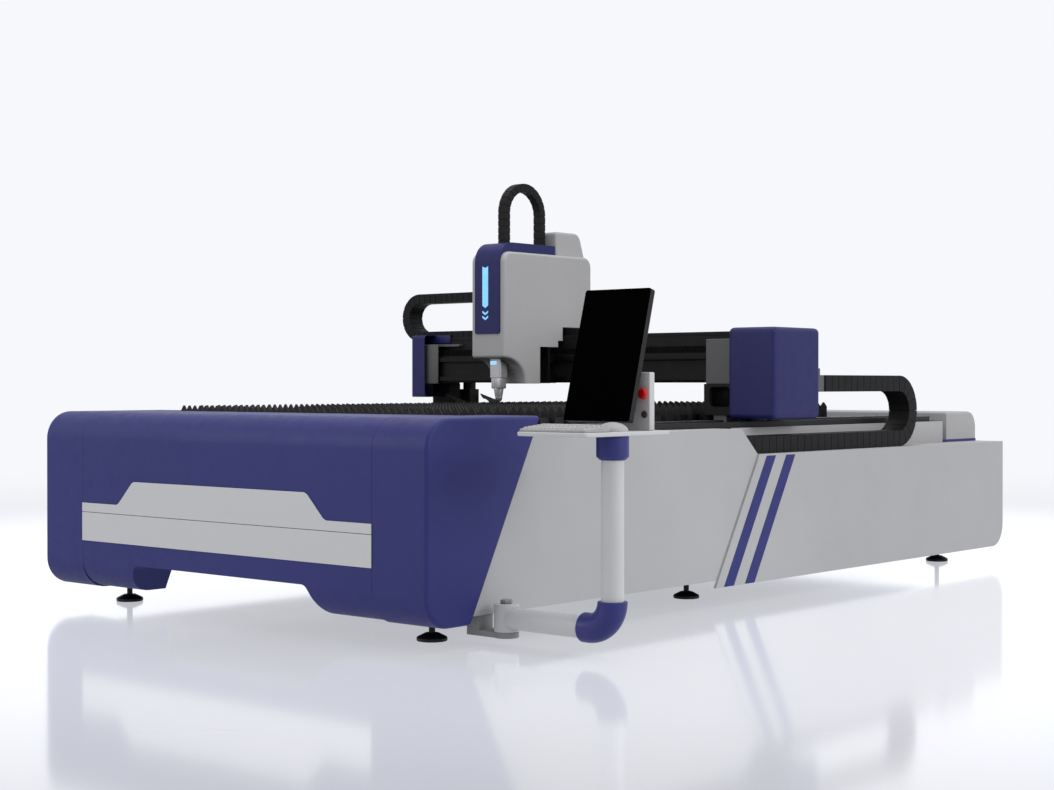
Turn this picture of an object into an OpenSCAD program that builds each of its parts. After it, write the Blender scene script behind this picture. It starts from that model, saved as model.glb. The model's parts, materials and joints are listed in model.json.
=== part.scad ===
// Open-bed fiber laser cutting machine: welded bed with a slatted table, a gantry on rack
// drives along Y, a carriage with the cutting head along X, and a swinging operator console.
// Machine frame: X across the bed, Y from front to rear, Z up from the floor, millimetres.

/* [Bed] */
// Width over the side covers
bed_w = 2320; // [2310:1:2340]
// Length from the front cover to the rear cover
bed_l = 4490; // [4450:5:4600]
// Height of the front cover's top
deck_z = 835; // [825:1:845]
// Height of the covers' lower edge
skirt_z = 80; // [76:1:90]
// Sheet thickness of the covers
sheet_t = 4; // [3:0.5:5]
// Height of the rail beams' top
beam_top_z = 758; // [752:1:762]
// Height of the rail beams' underside
beam_foot_z = 230; // [220:1:240]
// Wall of the welded beams
beam_wall = 12; // [8:1:16]
// Width of the left rail beam
left_beam_w = 120; // [112:1:130]
// Width of the right rail beam
right_beam_w = 263; // [255:1:270]
// Shelf beside the right rail beam
right_shelf_w = 157; // [155:1:160]
// Gap between the left rail beam and the side cover's face
left_shelf_w = 26; // [26:1:30]
// Number of tubes across the bed
crossmember_count = 4; // [3:1:6]

/* [Front cover] */
// Radius of the front cover's top and bottom edge
nose_r = 118; // [90:1:130]
// Width of each end cap
cap_w = 276; // [240:1:280]
// Depth of an end cap along its top
cap_top_l = 615; // [560:1:620]
// Depth of an end cap along its bottom
cap_foot_l = 225; // [200:1:240]
// Depth of the middle panel along its top
panel_top_l = 470; // [440:1:480]
// Depth of the middle panel along its bottom
panel_foot_l = 300; // [280:1:320]
// Height of the middle panel's lower edge
lip_z = 113; // [105:1:125]
// Height of the arch under the middle panel
arch_z = 201; // [180:1:215]
// Distance from the middle panel's end to the arch's foot
arch_foot_in = 194; // [160:1:230]
// Run of the arch's slanted ends
arch_run = 164; // [120:1:200]
// Radius of the edge between an end cap's front and side
cap_edge_r = 16; // [10:1:24]
// Thickness of the silver band
band_t = 4; // [2:0.5:6]
// Lower edge of the silver band
band_low_z = 288; // [270:1:300]
// Seam between the band's two strips
band_seam_z = 411; // [400:1:420]
// Upper edge of the band at its ends
band_shoulder_z = 449; // [435:1:460]
// Upper edge of the band's raised middle
band_crown_z = 549; // [520:1:560]
// Distance from the band's end to its raised middle
crown_in = 249; // [230:1:280]
// Run of the raised middle's slanted ends
crown_run = 103; // [80:1:140]

/* [Side covers] */
// How far the rear side panels stand proud of the front ones
panel_step = 10; // [8:1:14]
// Height of the rear side panels
ledge_z = 644; // [630:1:650]
// Where the split between the side panels meets the ledge
split_top_y = 2113; // [2050:1:2150]
// Where the split between the side panels meets the floor edge
split_foot_y = 1775; // [1700:1:1800]
// Rear end of the front side panels' top edge
panel_top_y = 1985; // [1900:1:1995]
// Radius of the rear panels' lower rear corner
tail_r = 115; // [80:1:130]
// Width of a stripe
stripe_w = 75; // [50:1:80]
// Spacing of the two stripes
stripe_pitch = 160; // [140:1:180]
// Distance from the split to the first stripe
stripe_lead = 58; // [40:1:70]
// Thickness of a stripe
stripe_t = 1; // [0.5:0.1:2]
// Length of the rear hood
hood_l = 332; // [300:1:340]
// Distance from the bed's side to the rear hood
hood_in = 164; // [160:1:180]
// Top of the rear hood
hood_z = 805; // [780:1:820]
// Thickness of the deck under the rear hood
deck_t = 13; // [8:1:16]

/* [Table] */
// Number of slats
slat_count = 31; // [24:1:32]
// Spacing of the slats
slat_pitch = 100; // [90:1:100]
// First slat's distance from the front
slat_first_y = 520; // [500:1:540]
// Room between the left rail beam and the slats
table_gap_left = 138; // [130:1:150]
// Room between the right rail beam and the slats
table_gap_right = 96; // [90:1:110]
// Thickness of a slat
slat_t = 6; // [4:0.5:8]
// Height of the slats' tips
tip_z = 859; // [850:1:862]
// Depth of a slat from tip to lower edge
slat_h = 89; // [80:1:92]
// Number of teeth on a slat
tooth_count = 40; // [30:1:44]
// Depth of a tooth
tooth_h = 22; // [15:1:28]

/* [Gantry] */
// Front of the gantry's covers
gantry_y = 2258; // [2240:1:2280]
// Height of a guide rail
rail_h = 30; // [26:1:32]
// Width of a guide rail
rail_w = 34; // [28:1:36]
// Running clearance of guides and bores
run_gap = 0.3; // [0.2:0.05:0.5]
// Underside of the gantry beam
beam_z = 961; // [950:1:970]
// Height of the beam's wide lower part
beam_low_h = 141; // [135:1:150]
// Height of the beam's narrow upper part
beam_up_h = 81; // [75:1:90]
// Depth of the beam's wide lower part
beam_d = 180; // [170:1:190]
// Step between the beam's lower and upper fronts
beam_step = 35; // [33:1:40]
// Width of the right gantry cover
box_w = 267; // [260:1:275]
// Depth of the right gantry cover
box_d = 375; // [370:1:380]
// Underside of the right gantry cover
box_z = 803; // [798:1:808]
// Top of the gantry covers
box_top_z = 1213; // [1205:1:1230]
// Radius of the gantry covers' edges
cover_r = 28; // [20:1:32]
// Gap between the gantry covers and the bed's side faces
box_inset = 10; // [8:1:14]
// Tooth module of the Y racks
y_module = 4; // [3.8:0.1:4.2]
// Tooth module of the X rack
x_module = 3; // [2.8:0.1:3.2]
// Number of teeth on a pinion
pinion_teeth = 16; // [15:1:17]

/* [Carriage] */
// Width of the head cover
head_w = 198; // [190:1:206]
// Left side of the head cover
head_x = -368; // [-380:1:-360]
// Front of the head cover
head_y = 1899; // [1890:1:1910]
// Depth of the head cover
head_d = 667; // [650:1:680]
// Lower edge of the head cover's front
head_lip_z = 1066; // [1055:1:1075]
// Lower edge of the head cover's leg
head_leg_z = 956; // [952:1:960]
// Top of the head cover
head_top_z = 1596; // [1580:1:1610]
// Radius of the head cover's upright edges
head_r = 20; // [14:1:26]
// Height of the blue trim over the head cover
trim_h = 47; // [40:1:55]
// How far the blue trim stands proud of the front
trim_proud = 6; // [4:1:10]
// Lower end of the blue trim
trim_z = 1198; // [1180:1:1220]
// Top of the motor cover
motor_top_z = 1718; // [1700:1:1730]
// Height of the nozzle's tip
nozzle_z = 867; // [864:1:872]
// Width of the cutting head's body
torch_w = 70; // [60:1:76]
// Depth of the cutting head's body
torch_d = 56; // [50:1:60]

/* [Drag chains] */
// Width of the Y chain
y_chain_w = 116; // [100:1:120]
// Thickness of the Y chain
y_chain_t = 78; // [60:1:80]
// Bend radius of the Y chain's middle
y_chain_r = 137; // [130:1:145]
// Rear end of the Y chain's loop
y_loop_y = 3590; // [3560:1:3600]
// Width of the X chain
x_chain_w = 102; // [90:1:106]
// Thickness of the X chain
x_chain_t = 51; // [40:1:54]
// Bend radius of the X chain's middle
x_chain_r = 101; // [95:1:105]
// How far the X chain's loop reaches past the bed's side
x_loop_out = 144; // [130:1:160]
// Fixed end of the X chain
x_chain_end = -200; // [-240:1:-190]
// Length of a link of the Y chain
y_link = 58; // [50:1:66]
// Length of a link of the X chain
x_link = 40; // [36:1:46]
// Length of a link of the Z chain
z_link = 35; // [30:1:40]
// Width of the groove between two links
groove_w = 3; // [2:0.5:4]
// Depth of the groove between two links
groove_d = 2; // [1:0.5:3]
// Width of the Z chain
z_chain_w = 45; // [40:1:48]
// Thickness of the Z chain
z_chain_t = 41; // [36:1:42]
// Bend radius of the Z chain's middle
z_chain_r = 133; // [128:1:136]
// Top of the Z chain
z_chain_top = 1946; // [1930:1:1960]

/* [Console] */
// Height of the arm pipe's axis
arm_z = 104; // [100:1:110]
// Distance from the front to the arm's pivot
arm_y = 339; // [330:1:345]
// Pivot's distance from the bed's side face
pivot_out = 75; // [70:1:85]
// Length of the arm from the pivot to the post
arm_l = 490; // [460:1:520]
// Diameter of the console's pipes
pipe_d = 80; // [70:1:84]
// Wall of the console's pipes
pipe_wall = 4; // [3:0.5:6]
// Diameter of the elbow
elbow_d = 105; // [96:1:110]
// Bend radius of the elbow
elbow_r = 100; // [90:1:110]
// Straight part of the elbow
elbow_straight = 25; // [15:1:30]
// Diameter of the collar on the post
collar_d = 114; // [100:1:118]
// Underside of the collar
collar_z = 693; // [680:1:700]
// Top of the collar
collar_top_z = 775; // [765:1:785]
// Top of the swivel cap
cap_top_z = 824; // [815:1:830]
// Width of the keyboard tray
tray_w = 310; // [300:1:330]
// Front of the keyboard tray, from the post
tray_front = 234; // [200:1:260]
// Rear of the keyboard tray, from the post
tray_rear = 256; // [252:1:270]
// Part of the tray to the right of the post
tray_right = 65; // [60:1:80]
// Thickness of the keyboard tray
tray_t = 15; // [12:1:20]
// Width of the monitor
monitor_w = 296; // [280:1:310]
// Height of the monitor
monitor_h = 488; // [460:1:500]
// Thickness of the monitor
monitor_t = 27; // [24:1:30]
// Lean of the monitor
monitor_lean = 15.4; // [12:0.1:16]
// Width of the button box
button_box_w = 200; // [190:1:210]
// Top of the button box
button_box_z = 969; // [960:1:972]
// Diameter of the emergency stop's head
estop_d = 40; // [32:1:44]
// Diameter of the start button
button_d = 25; // [18:1:28]

/* [Hidden] */
$fn = 48;
half_w = bed_w / 2;
face_x = half_w - panel_step;
right_beam_x1 = half_w - right_shelf_w;
right_beam_x0 = right_beam_x1 - right_beam_w;
left_beam_x0 = -half_w + left_shelf_w;
left_beam_x1 = left_beam_x0 + left_beam_w;
cross_d = 180;
cross_y = 222;
cross_h = 190;
beam_y0 = cross_y + cross_d;
beam_y1 = bed_l - 390;
rear_cross_y = beam_y1;
member_h = 120;
member_w = 100;
member_z = beam_foot_z + 70;
rim = 14;
rim_w = 8;
seam = 2;
lap_w = 24;
cap_slope = (cap_top_l - cap_foot_l) / (deck_z - skirt_z);
split_slope = (split_top_y - split_foot_y) / (ledge_z - skirt_z);
panel_half_w = half_w - cap_w;
arch_foot_w = 2 * (panel_half_w - arch_foot_in);
arch_top_w = arch_foot_w - 2 * arch_run;
crown_foot_w = 2 * (panel_half_w - crown_in);
crown_w = crown_foot_w - 2 * crown_run;
hood_half_w = half_w - hood_in;
foot_in = 236;
mid_foot_y = 1958;
arch_r = 45;
crown_r = 40;

// Table seats
slat_foot_z = tip_z - slat_h;
comb_t = 12;
comb_inset = 28;
notch_depth = 40;
comb_flange_t = 8;
table_x0 = left_beam_x1 + table_gap_left;
table_x1 = right_beam_x0 - table_gap_right;
slat_l = table_x1 - table_x0;
slag_drop = 90;
slag_run = 110;
slat_last_y = slat_first_y + (slat_count - 1) * slat_pitch;
table_y0 = slat_first_y - 30;
table_y1 = slat_last_y + 30;
tooth_pitch = slat_l / tooth_count;

// Guides along Y
rail_top_z = beam_top_z + rail_h;
rail_y0 = cap_top_l + 25;
rail_y1 = beam_y1 - 100;
right_rail_x = right_beam_x0 + 90;
left_rail_x = left_beam_x0 + 54;
block_w = 70;
block_l = 100;
block_in = 60;
block_top_z = rail_top_z + 24;
block_foot_z = beam_top_z + 6;
y_pinion_r = y_module * pinion_teeth / 2;
x_pinion_r = x_module * pinion_teeth / 2;
rack_h = 25;
rack_back = 22;
right_rack_x = right_beam_x1 - 45;
left_rack_x = left_beam_x1 - 6;
right_pinion_x = right_rack_x - y_pinion_r;
left_pinion_x = left_rack_x + y_pinion_r;
saddle_t = 25;
saddle_top_z = block_top_z + saddle_t;
saddle_y0 = gantry_y + 12;
saddle_y1 = gantry_y + 342;
motor_w = 72;
pinion_y = gantry_y + 287;
pinion_gap = 2;
shaft_r = 11;
bore_gap = 0.05;

// Gantry beam
beam_front = gantry_y + 52;
beam_back = beam_front + beam_d;
beam_step_z = beam_z + beam_low_h;
beam_top = beam_step_z + beam_up_h;
end_plate_t = 25;
end_leaf_t = 6;
plate_top_z = beam_step_z + 61;
right_plate_x = right_beam_x0 + 7;
beam_x1 = right_plate_x + 213;
beam_x0 = left_beam_x0 + 34;
left_plate_x1 = beam_x0 + 95;
box_x1 = half_w - box_inset;
box_x0 = box_x1 - box_w;
left_cover_front_w = 103;
left_cover_z = beam_z - 76;
cover_foot_r = 14;
right_saddle_x1 = right_pinion_x + motor_w / 2 + 8;
x_rail_w = 22;
x_rail_t = 22;
x_rail_low_z = beam_z + 10;
x_rail_up_z = beam_step_z - 32;
x_rail_x0 = left_plate_x1 + seam;
x_rail_x1 = right_plate_x - seam;
x_rack_h = 31;

// Carriage
head_x1 = head_x + head_w;
head_mid = (head_x + head_x1) / 2;
head_back = head_y + head_d;
leg_front = head_y + 199;
leg_back = gantry_y - 23;
neck_z = beam_step_z + 21;
neck_y = beam_front - 10;
span_z = beam_top + x_chain_t + 17;
pinion_mid_y = beam_front - x_pinion_r;
plate_y0 = leg_back + 5;
plate_y1 = pinion_mid_y - x_pinion_r - x_module - pinion_gap;
x_motor_w = 48;
torch_y = head_y + 51;
torch_back = torch_y + torch_d;
slide_back = torch_back + 64;
z_rail_w = 30;
z_rail_d = 18;
z_rail_front = slide_back - 10;
arm_front = z_rail_front + z_rail_d;
chain_slot = 8;
head_top_r = 40;
z_front_y = head_y + 119;
z_rear_y = z_front_y + 2 * z_chain_r;
trim_top_z = head_top_z + trim_h;
trim_back = z_rear_y + z_chain_t / 2 + 6;
slide_z0 = head_lip_z + 44;
slide_z1 = head_lip_z + 184;

// Chains
y_chain_x1 = box_x1 - 21;
y_chain_x0 = y_chain_x1 - y_chain_w;
x_loop_x = -half_w - x_loop_out;
y_low_z = ledge_z + run_gap;
y_mid_z = y_low_z + y_chain_t / 2 + y_chain_r;
y_up_z = y_mid_z + y_chain_r - y_chain_t / 2;
y_bend_y = y_loop_y - y_chain_r - y_chain_t / 2;
y_chain_front = panel_top_y + 15;
y_bracket_y1 = gantry_y + box_d + 82;
x_chain_y0 = beam_front + beam_step + 7;
x_low_z = beam_top + run_gap;
x_mid_z = x_low_z + x_chain_t / 2 + x_chain_r;
x_up_z = x_mid_z + x_chain_r - x_chain_t / 2;
x_bend_x = x_loop_x + x_chain_r + x_chain_t / 2;
z_bend_z = z_chain_top - z_chain_r - z_chain_t / 2;

// Console
pivot_x = half_w + pivot_out;
post_x = pivot_x + arm_l;
knuckle_r = 46;
pin_r = 15;
ear_t = 22;
ear_z = arm_z - pipe_d / 2 - 8 - ear_t;
tray_x1 = post_x + tray_right;
tray_x0 = tray_x1 - tray_w;
tray_z = collar_top_z + run_gap + 1;
tray_top_z = tray_z + tray_t;
box_front = arm_y + 170;
box_back = box_front + 80;
tilt_y = box_front + 12;
tilt_z = button_box_z + 16;
tilt_pin_r = 6;
lug_r = 12;
monitor_x0 = post_x - 277;
monitor_foot_y = arm_y + 66;
monitor_foot_z = tray_top_z + 34;
button_box_x1 = post_x + 37;
button_box_x0 = button_box_x1 - button_box_w;
estop_x = button_box_x1 - 27;
estop_z = button_box_z - 48;
button_z = button_box_z - 121;
button_travel = 4;

// The part stands on its own middle
x_low = x_loop_x;
x_high = tray_x1;
shift = [-(x_low + x_high) / 2, -(bed_l - band_t) / 2, 0];

blue = [0.205, 0.215, 0.42];
light = [0.68, 0.68, 0.68];
silver = [0.77, 0.77, 0.77];
dark = [0.15, 0.15, 0.15];
chain_black = [0.17, 0.17, 0.17];
plate_grey = [0.34, 0.34, 0.34];
steel = [0.55, 0.56, 0.58];

// Corner arcs for outlines given as [x, y, radius]
function unit(v) = v / norm(v);
function turn(a) = a > 180 ? a - 360 : a < -180 ? a + 360 : a;
function corner(a, b, c, r, n) =
    let (u = unit(a - b), v = unit(c - b), half = acos(u * v) / 2)
    let (mid = b + unit(u + v) * r / sin(half), s = b + u * r / tan(half) - mid)
    let (e = b + v * r / tan(half) - mid, a0 = atan2(s[1], s[0]))
    let (sweep = turn(atan2(e[1], e[0]) - a0))
    [for (i = [0:n]) mid + r * [cos(a0 + sweep * i / n), sin(a0 + sweep * i / n)]];
function flat2(p) = [p[0], p[1]];
function rounded(p, n = 8) =
    let (m = len(p))
    [for (i = [0:m - 1])
        each len(p[i]) > 2 && p[i][2] > 0
            ? corner(flat2(p[(i + m - 1) % m]), flat2(p[i]), flat2(p[(i + 1) % m]), p[i][2], n)
            : [flat2(p[i])]];

module block(a, b) {
    translate(a)
        cube(b - a);
}

// Y-Z outline along X
module along_x(x0, x1) {
    translate([x0, 0, 0])
        rotate([90, 0, 90])
            linear_extrude(x1 - x0)
                children();
}

// X-Z outline along Y
module along_y(y0, y1) {
    translate([0, y1, 0])
        rotate([90, 0, 0])
            linear_extrude(y1 - y0)
                children();
}

// X-Y outline along Z
module along_z(z0, z1) {
    translate([0, 0, z0])
        linear_extrude(z1 - z0)
            children();
}

// Rectangle with its own radius for the low and the high corners
module round_rect(u0, u1, v0, v1, low_r, high_r) {
    polygon(rounded([[u0, v0, low_r], [u1, v0, low_r], [u1, v1, high_r], [u0, v1, high_r]]));
}

module both_sides() {
    children();
    mirror([1, 0, 0])
        children();
}

module placed(tint) {
    color(tint)
        translate(shift)
            children();
}

// Bed frame

// Square tube from corner to corner, open along the given direction
module box_tube(a, b, wall, way) {
    inset = [for (i = [0:2]) i == way ? -1 : wall];
    difference() {
        block(a, b);
        block(a + inset, b - inset);
    }
}

module bed_beams() {
    placed(dark) {
        box_tube([left_beam_x0, beam_y0, beam_foot_z], [left_beam_x1, beam_y1, beam_top_z], beam_wall, 1);
        box_tube([right_beam_x0, beam_y0, beam_foot_z], [right_beam_x1, beam_y1, beam_top_z], beam_wall, 1);
    }
}

module bed_crossmembers() {
    member_step = (beam_y1 - beam_y0 - member_w) / (crossmember_count + 1);
    cross_x1 = face_x - rim - seam;
    placed(dark) {
        box_tube([left_beam_x0, cross_y, beam_foot_z],
                 [cross_x1, cross_y + cross_d, beam_foot_z + cross_h], beam_wall, 0);
        box_tube([left_beam_x0, rear_cross_y, beam_foot_z],
                 [right_beam_x1, rear_cross_y + cross_d, beam_foot_z + cross_h], beam_wall, 0);
        for (i = [1:crossmember_count])
            box_tube([left_beam_x1, beam_y0 + i * member_step, member_z],
                     [right_beam_x0, beam_y0 + i * member_step + member_w, member_z + member_h], beam_wall, 0);
    }
}

module foot(x, y) {
    pad_h = 16;
    swivel_h = 30;
    translate([x, y, 0])
        rotate_extrude()
            polygon([[0, 0], [56, 0], [58, 3], [58, pad_h - 4], [54, pad_h], [26, swivel_h],
                     [12, swivel_h], [12, beam_foot_z], [0, beam_foot_z]]);
    translate([x, y, beam_foot_z - 20])
        difference() {
            cylinder(h = 20, r = 22, $fn = 6);
            translate([0, 0, -1])
                cylinder(h = 22, r = 12 + bore_gap);
        }
}

module levelling_feet() {
    front_foot_x = half_w - foot_in;
    placed(dark) {
        for (x = [-front_foot_x, front_foot_x], y = [cross_y + 50, rear_cross_y + cross_d / 2])
            foot(x, y);
        foot((right_beam_x0 + right_beam_x1) / 2, mid_foot_y);
        foot((left_beam_x0 + left_beam_x1) / 2, mid_foot_y);
    }
}

// Cutting table

module slag_tray() {
    tray_foot_z = member_z + member_h;
    tray_rim_z = slat_foot_z - slag_drop;
    placed(dark)
        along_y(table_y0, table_y1)
            difference() {
                polygon([[table_x0, tray_rim_z], [table_x0 + slag_run, tray_foot_z],
                         [table_x1 - slag_run, tray_foot_z], [table_x1, tray_rim_z]]);
                polygon([[table_x0 + sheet_t, tray_rim_z + 1],
                         [table_x0 + slag_run + sheet_t, tray_foot_z + sheet_t],
                         [table_x1 - slag_run - sheet_t, tray_foot_z + sheet_t],
                         [table_x1 - sheet_t, tray_rim_z + 1]]);
            }
}

module comb(beam_x, plate_x, side) {
    inner_x = plate_x + side * comb_t;
    difference() {
        union() {
            block([min(beam_x, inner_x), table_y0, beam_top_z - comb_flange_t],
                  [max(beam_x, inner_x), table_y1, beam_top_z]);
            block([min(plate_x, inner_x), table_y0, beam_top_z],
                  [max(plate_x, inner_x), table_y1, slat_foot_z + notch_depth]);
        }
        for (i = [0:slat_count - 1])
            translate([0, slat_first_y + i * slat_pitch, 0])
                block([min(plate_x, inner_x) - 1, -slat_t / 2 - run_gap, slat_foot_z],
                      [max(plate_x, inner_x) + 1, slat_t / 2 + run_gap, slat_foot_z + notch_depth + 1]);
    }
}

module table_combs() {
    placed(dark) {
        comb(left_beam_x1, table_x0 + comb_inset, 1);
        comb(right_beam_x0, table_x1 - comb_inset, -1);
    }
}

module slat() {
    valley_z = tip_z - tooth_h;
    land = tooth_pitch * 0.16;
    along_y(-slat_t / 2, slat_t / 2)
        polygon(concat(
            [[table_x1, slat_foot_z], [table_x0, slat_foot_z]],
            [for (i = [0:tooth_count - 1])
                each [[table_x0 + i * tooth_pitch, valley_z],
                      [table_x0 + (i + 0.5) * tooth_pitch - land / 2, tip_z],
                      [table_x0 + (i + 0.5) * tooth_pitch + land / 2, tip_z]]],
            [[table_x1, valley_z]]));
}

module slats() {
    placed([0.14, 0.14, 0.15])
        for (i = [0:slat_count - 1])
            translate([0, slat_first_y + i * slat_pitch, 0])
                slat();
}

module stop_fin(y) {
    fin_x = left_pinion_x + y_pinion_r + 28;
    fin_t = 10;
    fin_l = 150;
    fin_foot_l = 72;
    fin_tip_z = beam_top_z + 144;
    fin_back_z = beam_top_z + 64;
    translate([fin_x, 0, 0])
        along_x(0, fin_t)
            difference() {
                polygon([[y + fin_l - fin_foot_l, beam_top_z], [y + fin_l, beam_top_z],
                         [y + fin_l - 10, fin_back_z], [y, fin_tip_z]]);
                translate([y + 22, fin_tip_z - 102])
                    circle(r = 76);
            }
}

module sheet_stops() {
    placed(dark) {
        stop_fin(gantry_y + 39);
        stop_fin(gantry_y + 305);
    }
}

// Front covers

module cap_outline(inset, past) {
    top_z = deck_z - inset;
    foot_z = skirt_z + inset;
    polygon(rounded([
        [cap_edge(top_z) + past, top_z],
        [inset, top_z, nose_r - inset],
        [inset, foot_z, nose_r - inset],
        [cap_edge(foot_z) + past, foot_z]], 12));
}

// Cap from its inner end to its side face, the outline drawn in along a round edge
module cap_body(x0, x1, inset, past) {
    r = cap_edge_r - inset;
    steps = 4;
    slice = 0.01;
    hull() {
        along_x(x0, x1 - r)
            cap_outline(inset, past);
        for (i = [1:steps])
            translate([x1 - r + r * sin(90 * i / steps), 0, 0])
                along_x(-slice, 0)
                    cap_outline(inset + r * (1 - cos(90 * i / steps)), past);
    }
}

// Joggled strip behind a cap's rear edge that lies on the side panel
module cap_lip() {
    low_z = lip_z + lap_w;
    high_z = beam_top_z - lap_w;
    along_x(face_x, half_w - sheet_t)
        polygon([
            [cap_edge(low_z) - lap_w, low_z], [cap_edge(low_z), low_z],
            [cap_edge(high_z), high_z], [cap_edge(high_z) - lap_w, high_z]]);
}

module front_caps() {
    placed(blue)
        both_sides() {
            difference() {
                cap_body(panel_half_w, half_w, 0, 0);
                cap_body(panel_half_w - 1, half_w - sheet_t, sheet_t, 60);
            }
            cap_lip();
        }
}

module panel_outline(inset, past) {
    polygon(rounded([
        [panel_top_l + past, deck_z - inset],
        [inset, deck_z - inset, nose_r - inset],
        [inset, lip_z + inset, nose_r - inset],
        [panel_foot_l + past, lip_z + inset]], 12));
}

module arch(grow) {
    along_y(-1, panel_foot_l + 120)
        polygon(rounded([
            [-arch_foot_w / 2 - grow * 2, lip_z - 1],
            [-arch_top_w / 2 - grow, arch_z + grow, arch_r],
            [arch_top_w / 2 + grow, arch_z + grow, arch_r],
            [arch_foot_w / 2 + grow * 2, lip_z - 1]]));
}

module front_panel() {
    placed(blue)
        difference() {
            union() {
                difference() {
                    along_x(-panel_half_w, panel_half_w)
                        panel_outline(0, 0);
                    along_x(-panel_half_w - 1, panel_half_w + 1)
                        panel_outline(sheet_t, 120);
                }
                intersection() {
                    along_x(-panel_half_w, panel_half_w)
                        panel_outline(0, 0);
                    arch(sheet_t);
                    block([-half_w, 0, 0], [half_w, panel_foot_l, deck_z]);
                }
            }
            arch(0);
        }
}

module front_band() {
    placed(silver)
        along_y(-band_t, 0) {
            translate([-panel_half_w, band_low_z])
                square([2 * panel_half_w, band_seam_z - band_low_z - seam]);
            polygon(rounded([
                [-panel_half_w, band_seam_z], [panel_half_w, band_seam_z],
                [panel_half_w, band_shoulder_z], [crown_foot_w / 2, band_shoulder_z, crown_r],
                [crown_w / 2, band_crown_z, crown_r], [-crown_w / 2, band_crown_z, crown_r],
                [-crown_foot_w / 2, band_shoulder_z, crown_r], [-panel_half_w, band_shoulder_z]]));
        }
}

// Side covers: rimmed panels with a shelf to the rail beam

function cap_edge(z) = cap_foot_l + (z - skirt_z) * cap_slope;
function split_edge(z) = split_foot_y + (z - skirt_z) * split_slope;

module front_panel_outline(inset) {
    low_z = lip_z - 2 + inset;
    high_z = beam_top_z - inset;
    polygon([
        [cap_edge(low_z) - lap_w + inset, low_z], [cap_edge(high_z) - lap_w + inset, high_z],
        [panel_top_y - inset, high_z], [split_top_y - seam - inset * 1.5, ledge_z],
        [split_edge(low_z) - seam - inset * 1.5, low_z]]);
}

module side_panel_front(shelf_w) {
    difference() {
        along_x(face_x - rim, face_x)
            front_panel_outline(0);
        along_x(face_x - rim - 1, face_x - sheet_t)
            front_panel_outline(rim_w);
    }
    block([half_w - shelf_w, cap_edge(beam_top_z) + seam, beam_top_z - sheet_t],
          [face_x - rim, panel_top_y, beam_top_z]);
}

module side_panels_front() {
    placed(light) {
        side_panel_front(right_shelf_w);
        mirror([1, 0, 0])
            side_panel_front(left_shelf_w);
    }
}

module rear_panel_outline(inset) {
    low_z = skirt_z + inset;
    high_z = ledge_z - inset;
    polygon(rounded([
        [split_edge(low_z) + inset, low_z], [split_edge(high_z) + inset, high_z],
        [bed_l - inset, high_z], [bed_l - inset, low_z, tail_r - inset]]));
}

module side_panel_rear(shelf_w) {
    difference() {
        along_x(half_w - rim, half_w)
            rear_panel_outline(0);
        along_x(half_w - rim - 1, half_w - sheet_t)
            rear_panel_outline(rim_w);
    }
    block([half_w - shelf_w, split_top_y, ledge_z - sheet_t], [half_w - rim, beam_y1, ledge_z]);
    block([hood_half_w + sheet_t, beam_y1, ledge_z - sheet_t], [half_w - rim, bed_l - sheet_t, ledge_z]);
}

module side_panels_rear() {
    placed(light) {
        side_panel_rear(right_shelf_w);
        block([half_w - right_shelf_w, y_chain_front, ledge_z - sheet_t],
              [face_x - rim - seam, split_top_y, ledge_z]);
        mirror([1, 0, 0])
            side_panel_rear(left_shelf_w);
    }
}

module side_stripes() {
    stripe_foot_z = skirt_z + 1;
    stripe_top_z = ledge_z - rim_w;
    placed(blue)
        both_sides()
            along_x(half_w, half_w + stripe_t)
                for (i = [0:1])
                    translate([stripe_lead + i * stripe_pitch, 0])
                        polygon([
                            [split_edge(stripe_foot_z), stripe_foot_z],
                            [split_edge(stripe_foot_z) + stripe_w, stripe_foot_z],
                            [split_edge(stripe_top_z) + stripe_w, stripe_top_z],
                            [split_edge(stripe_top_z), stripe_top_z]]);
}

// Rear covers

module rear_panel() {
    placed(blue) {
        block([-hood_half_w - sheet_t, beam_y1, ledge_z - sheet_t], [hood_half_w + sheet_t, bed_l, ledge_z + deck_t]);
        block([-half_w + rim, bed_l - sheet_t, skirt_z + tail_r],
              [half_w - rim, bed_l, ledge_z - sheet_t]);
        block([left_beam_x1, table_y1, ledge_z - sheet_t], [right_beam_x0, beam_y1, ledge_z]);
    }
}

module hood_outline(inset) {
    polygon(rounded([
        [bed_l - hood_l + inset, ledge_z + deck_t - (inset > 0 ? 1 : 0)],
        [bed_l - hood_l + inset, hood_z - inset, 12],
        [bed_l - inset, hood_z - inset, 90 - inset],
        [bed_l - inset, ledge_z + deck_t - (inset > 0 ? 1 : 0)]], 12));
}

module hood_form(inset) {
    half = hood_half_w - inset;
    foot_z = ledge_z + deck_t - 1;
    edge_r = 14 - inset;
    intersection() {
        along_x(-half, half)
            hood_outline(inset);
        along_y(bed_l - hood_l, bed_l)
            round_rect(-half, half, foot_z, hood_z - inset, 0, edge_r);
    }
}

module rear_hood() {
    placed(light)
        difference() {
            hood_form(0);
            hood_form(sheet_t);
        }
}

// Guides and racks along Y

module profile_rail(w, h) {
    waist = w * 0.12;
    polygon([[-w / 2, 0], [w / 2, 0], [w / 2, h * 0.35], [w / 2 - waist, h * 0.55],
             [w / 2, h * 0.75], [w / 2, h], [-w / 2, h], [-w / 2, h * 0.75],
             [-w / 2 + waist, h * 0.55], [-w / 2, h * 0.35]]);
}

module y_rails() {
    placed(steel)
        for (x = [left_rail_x, right_rail_x])
            translate([x, 0, beam_top_z])
                along_y(rail_y0, rail_y1)
                    profile_rail(rail_w, rail_h);
}

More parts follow.
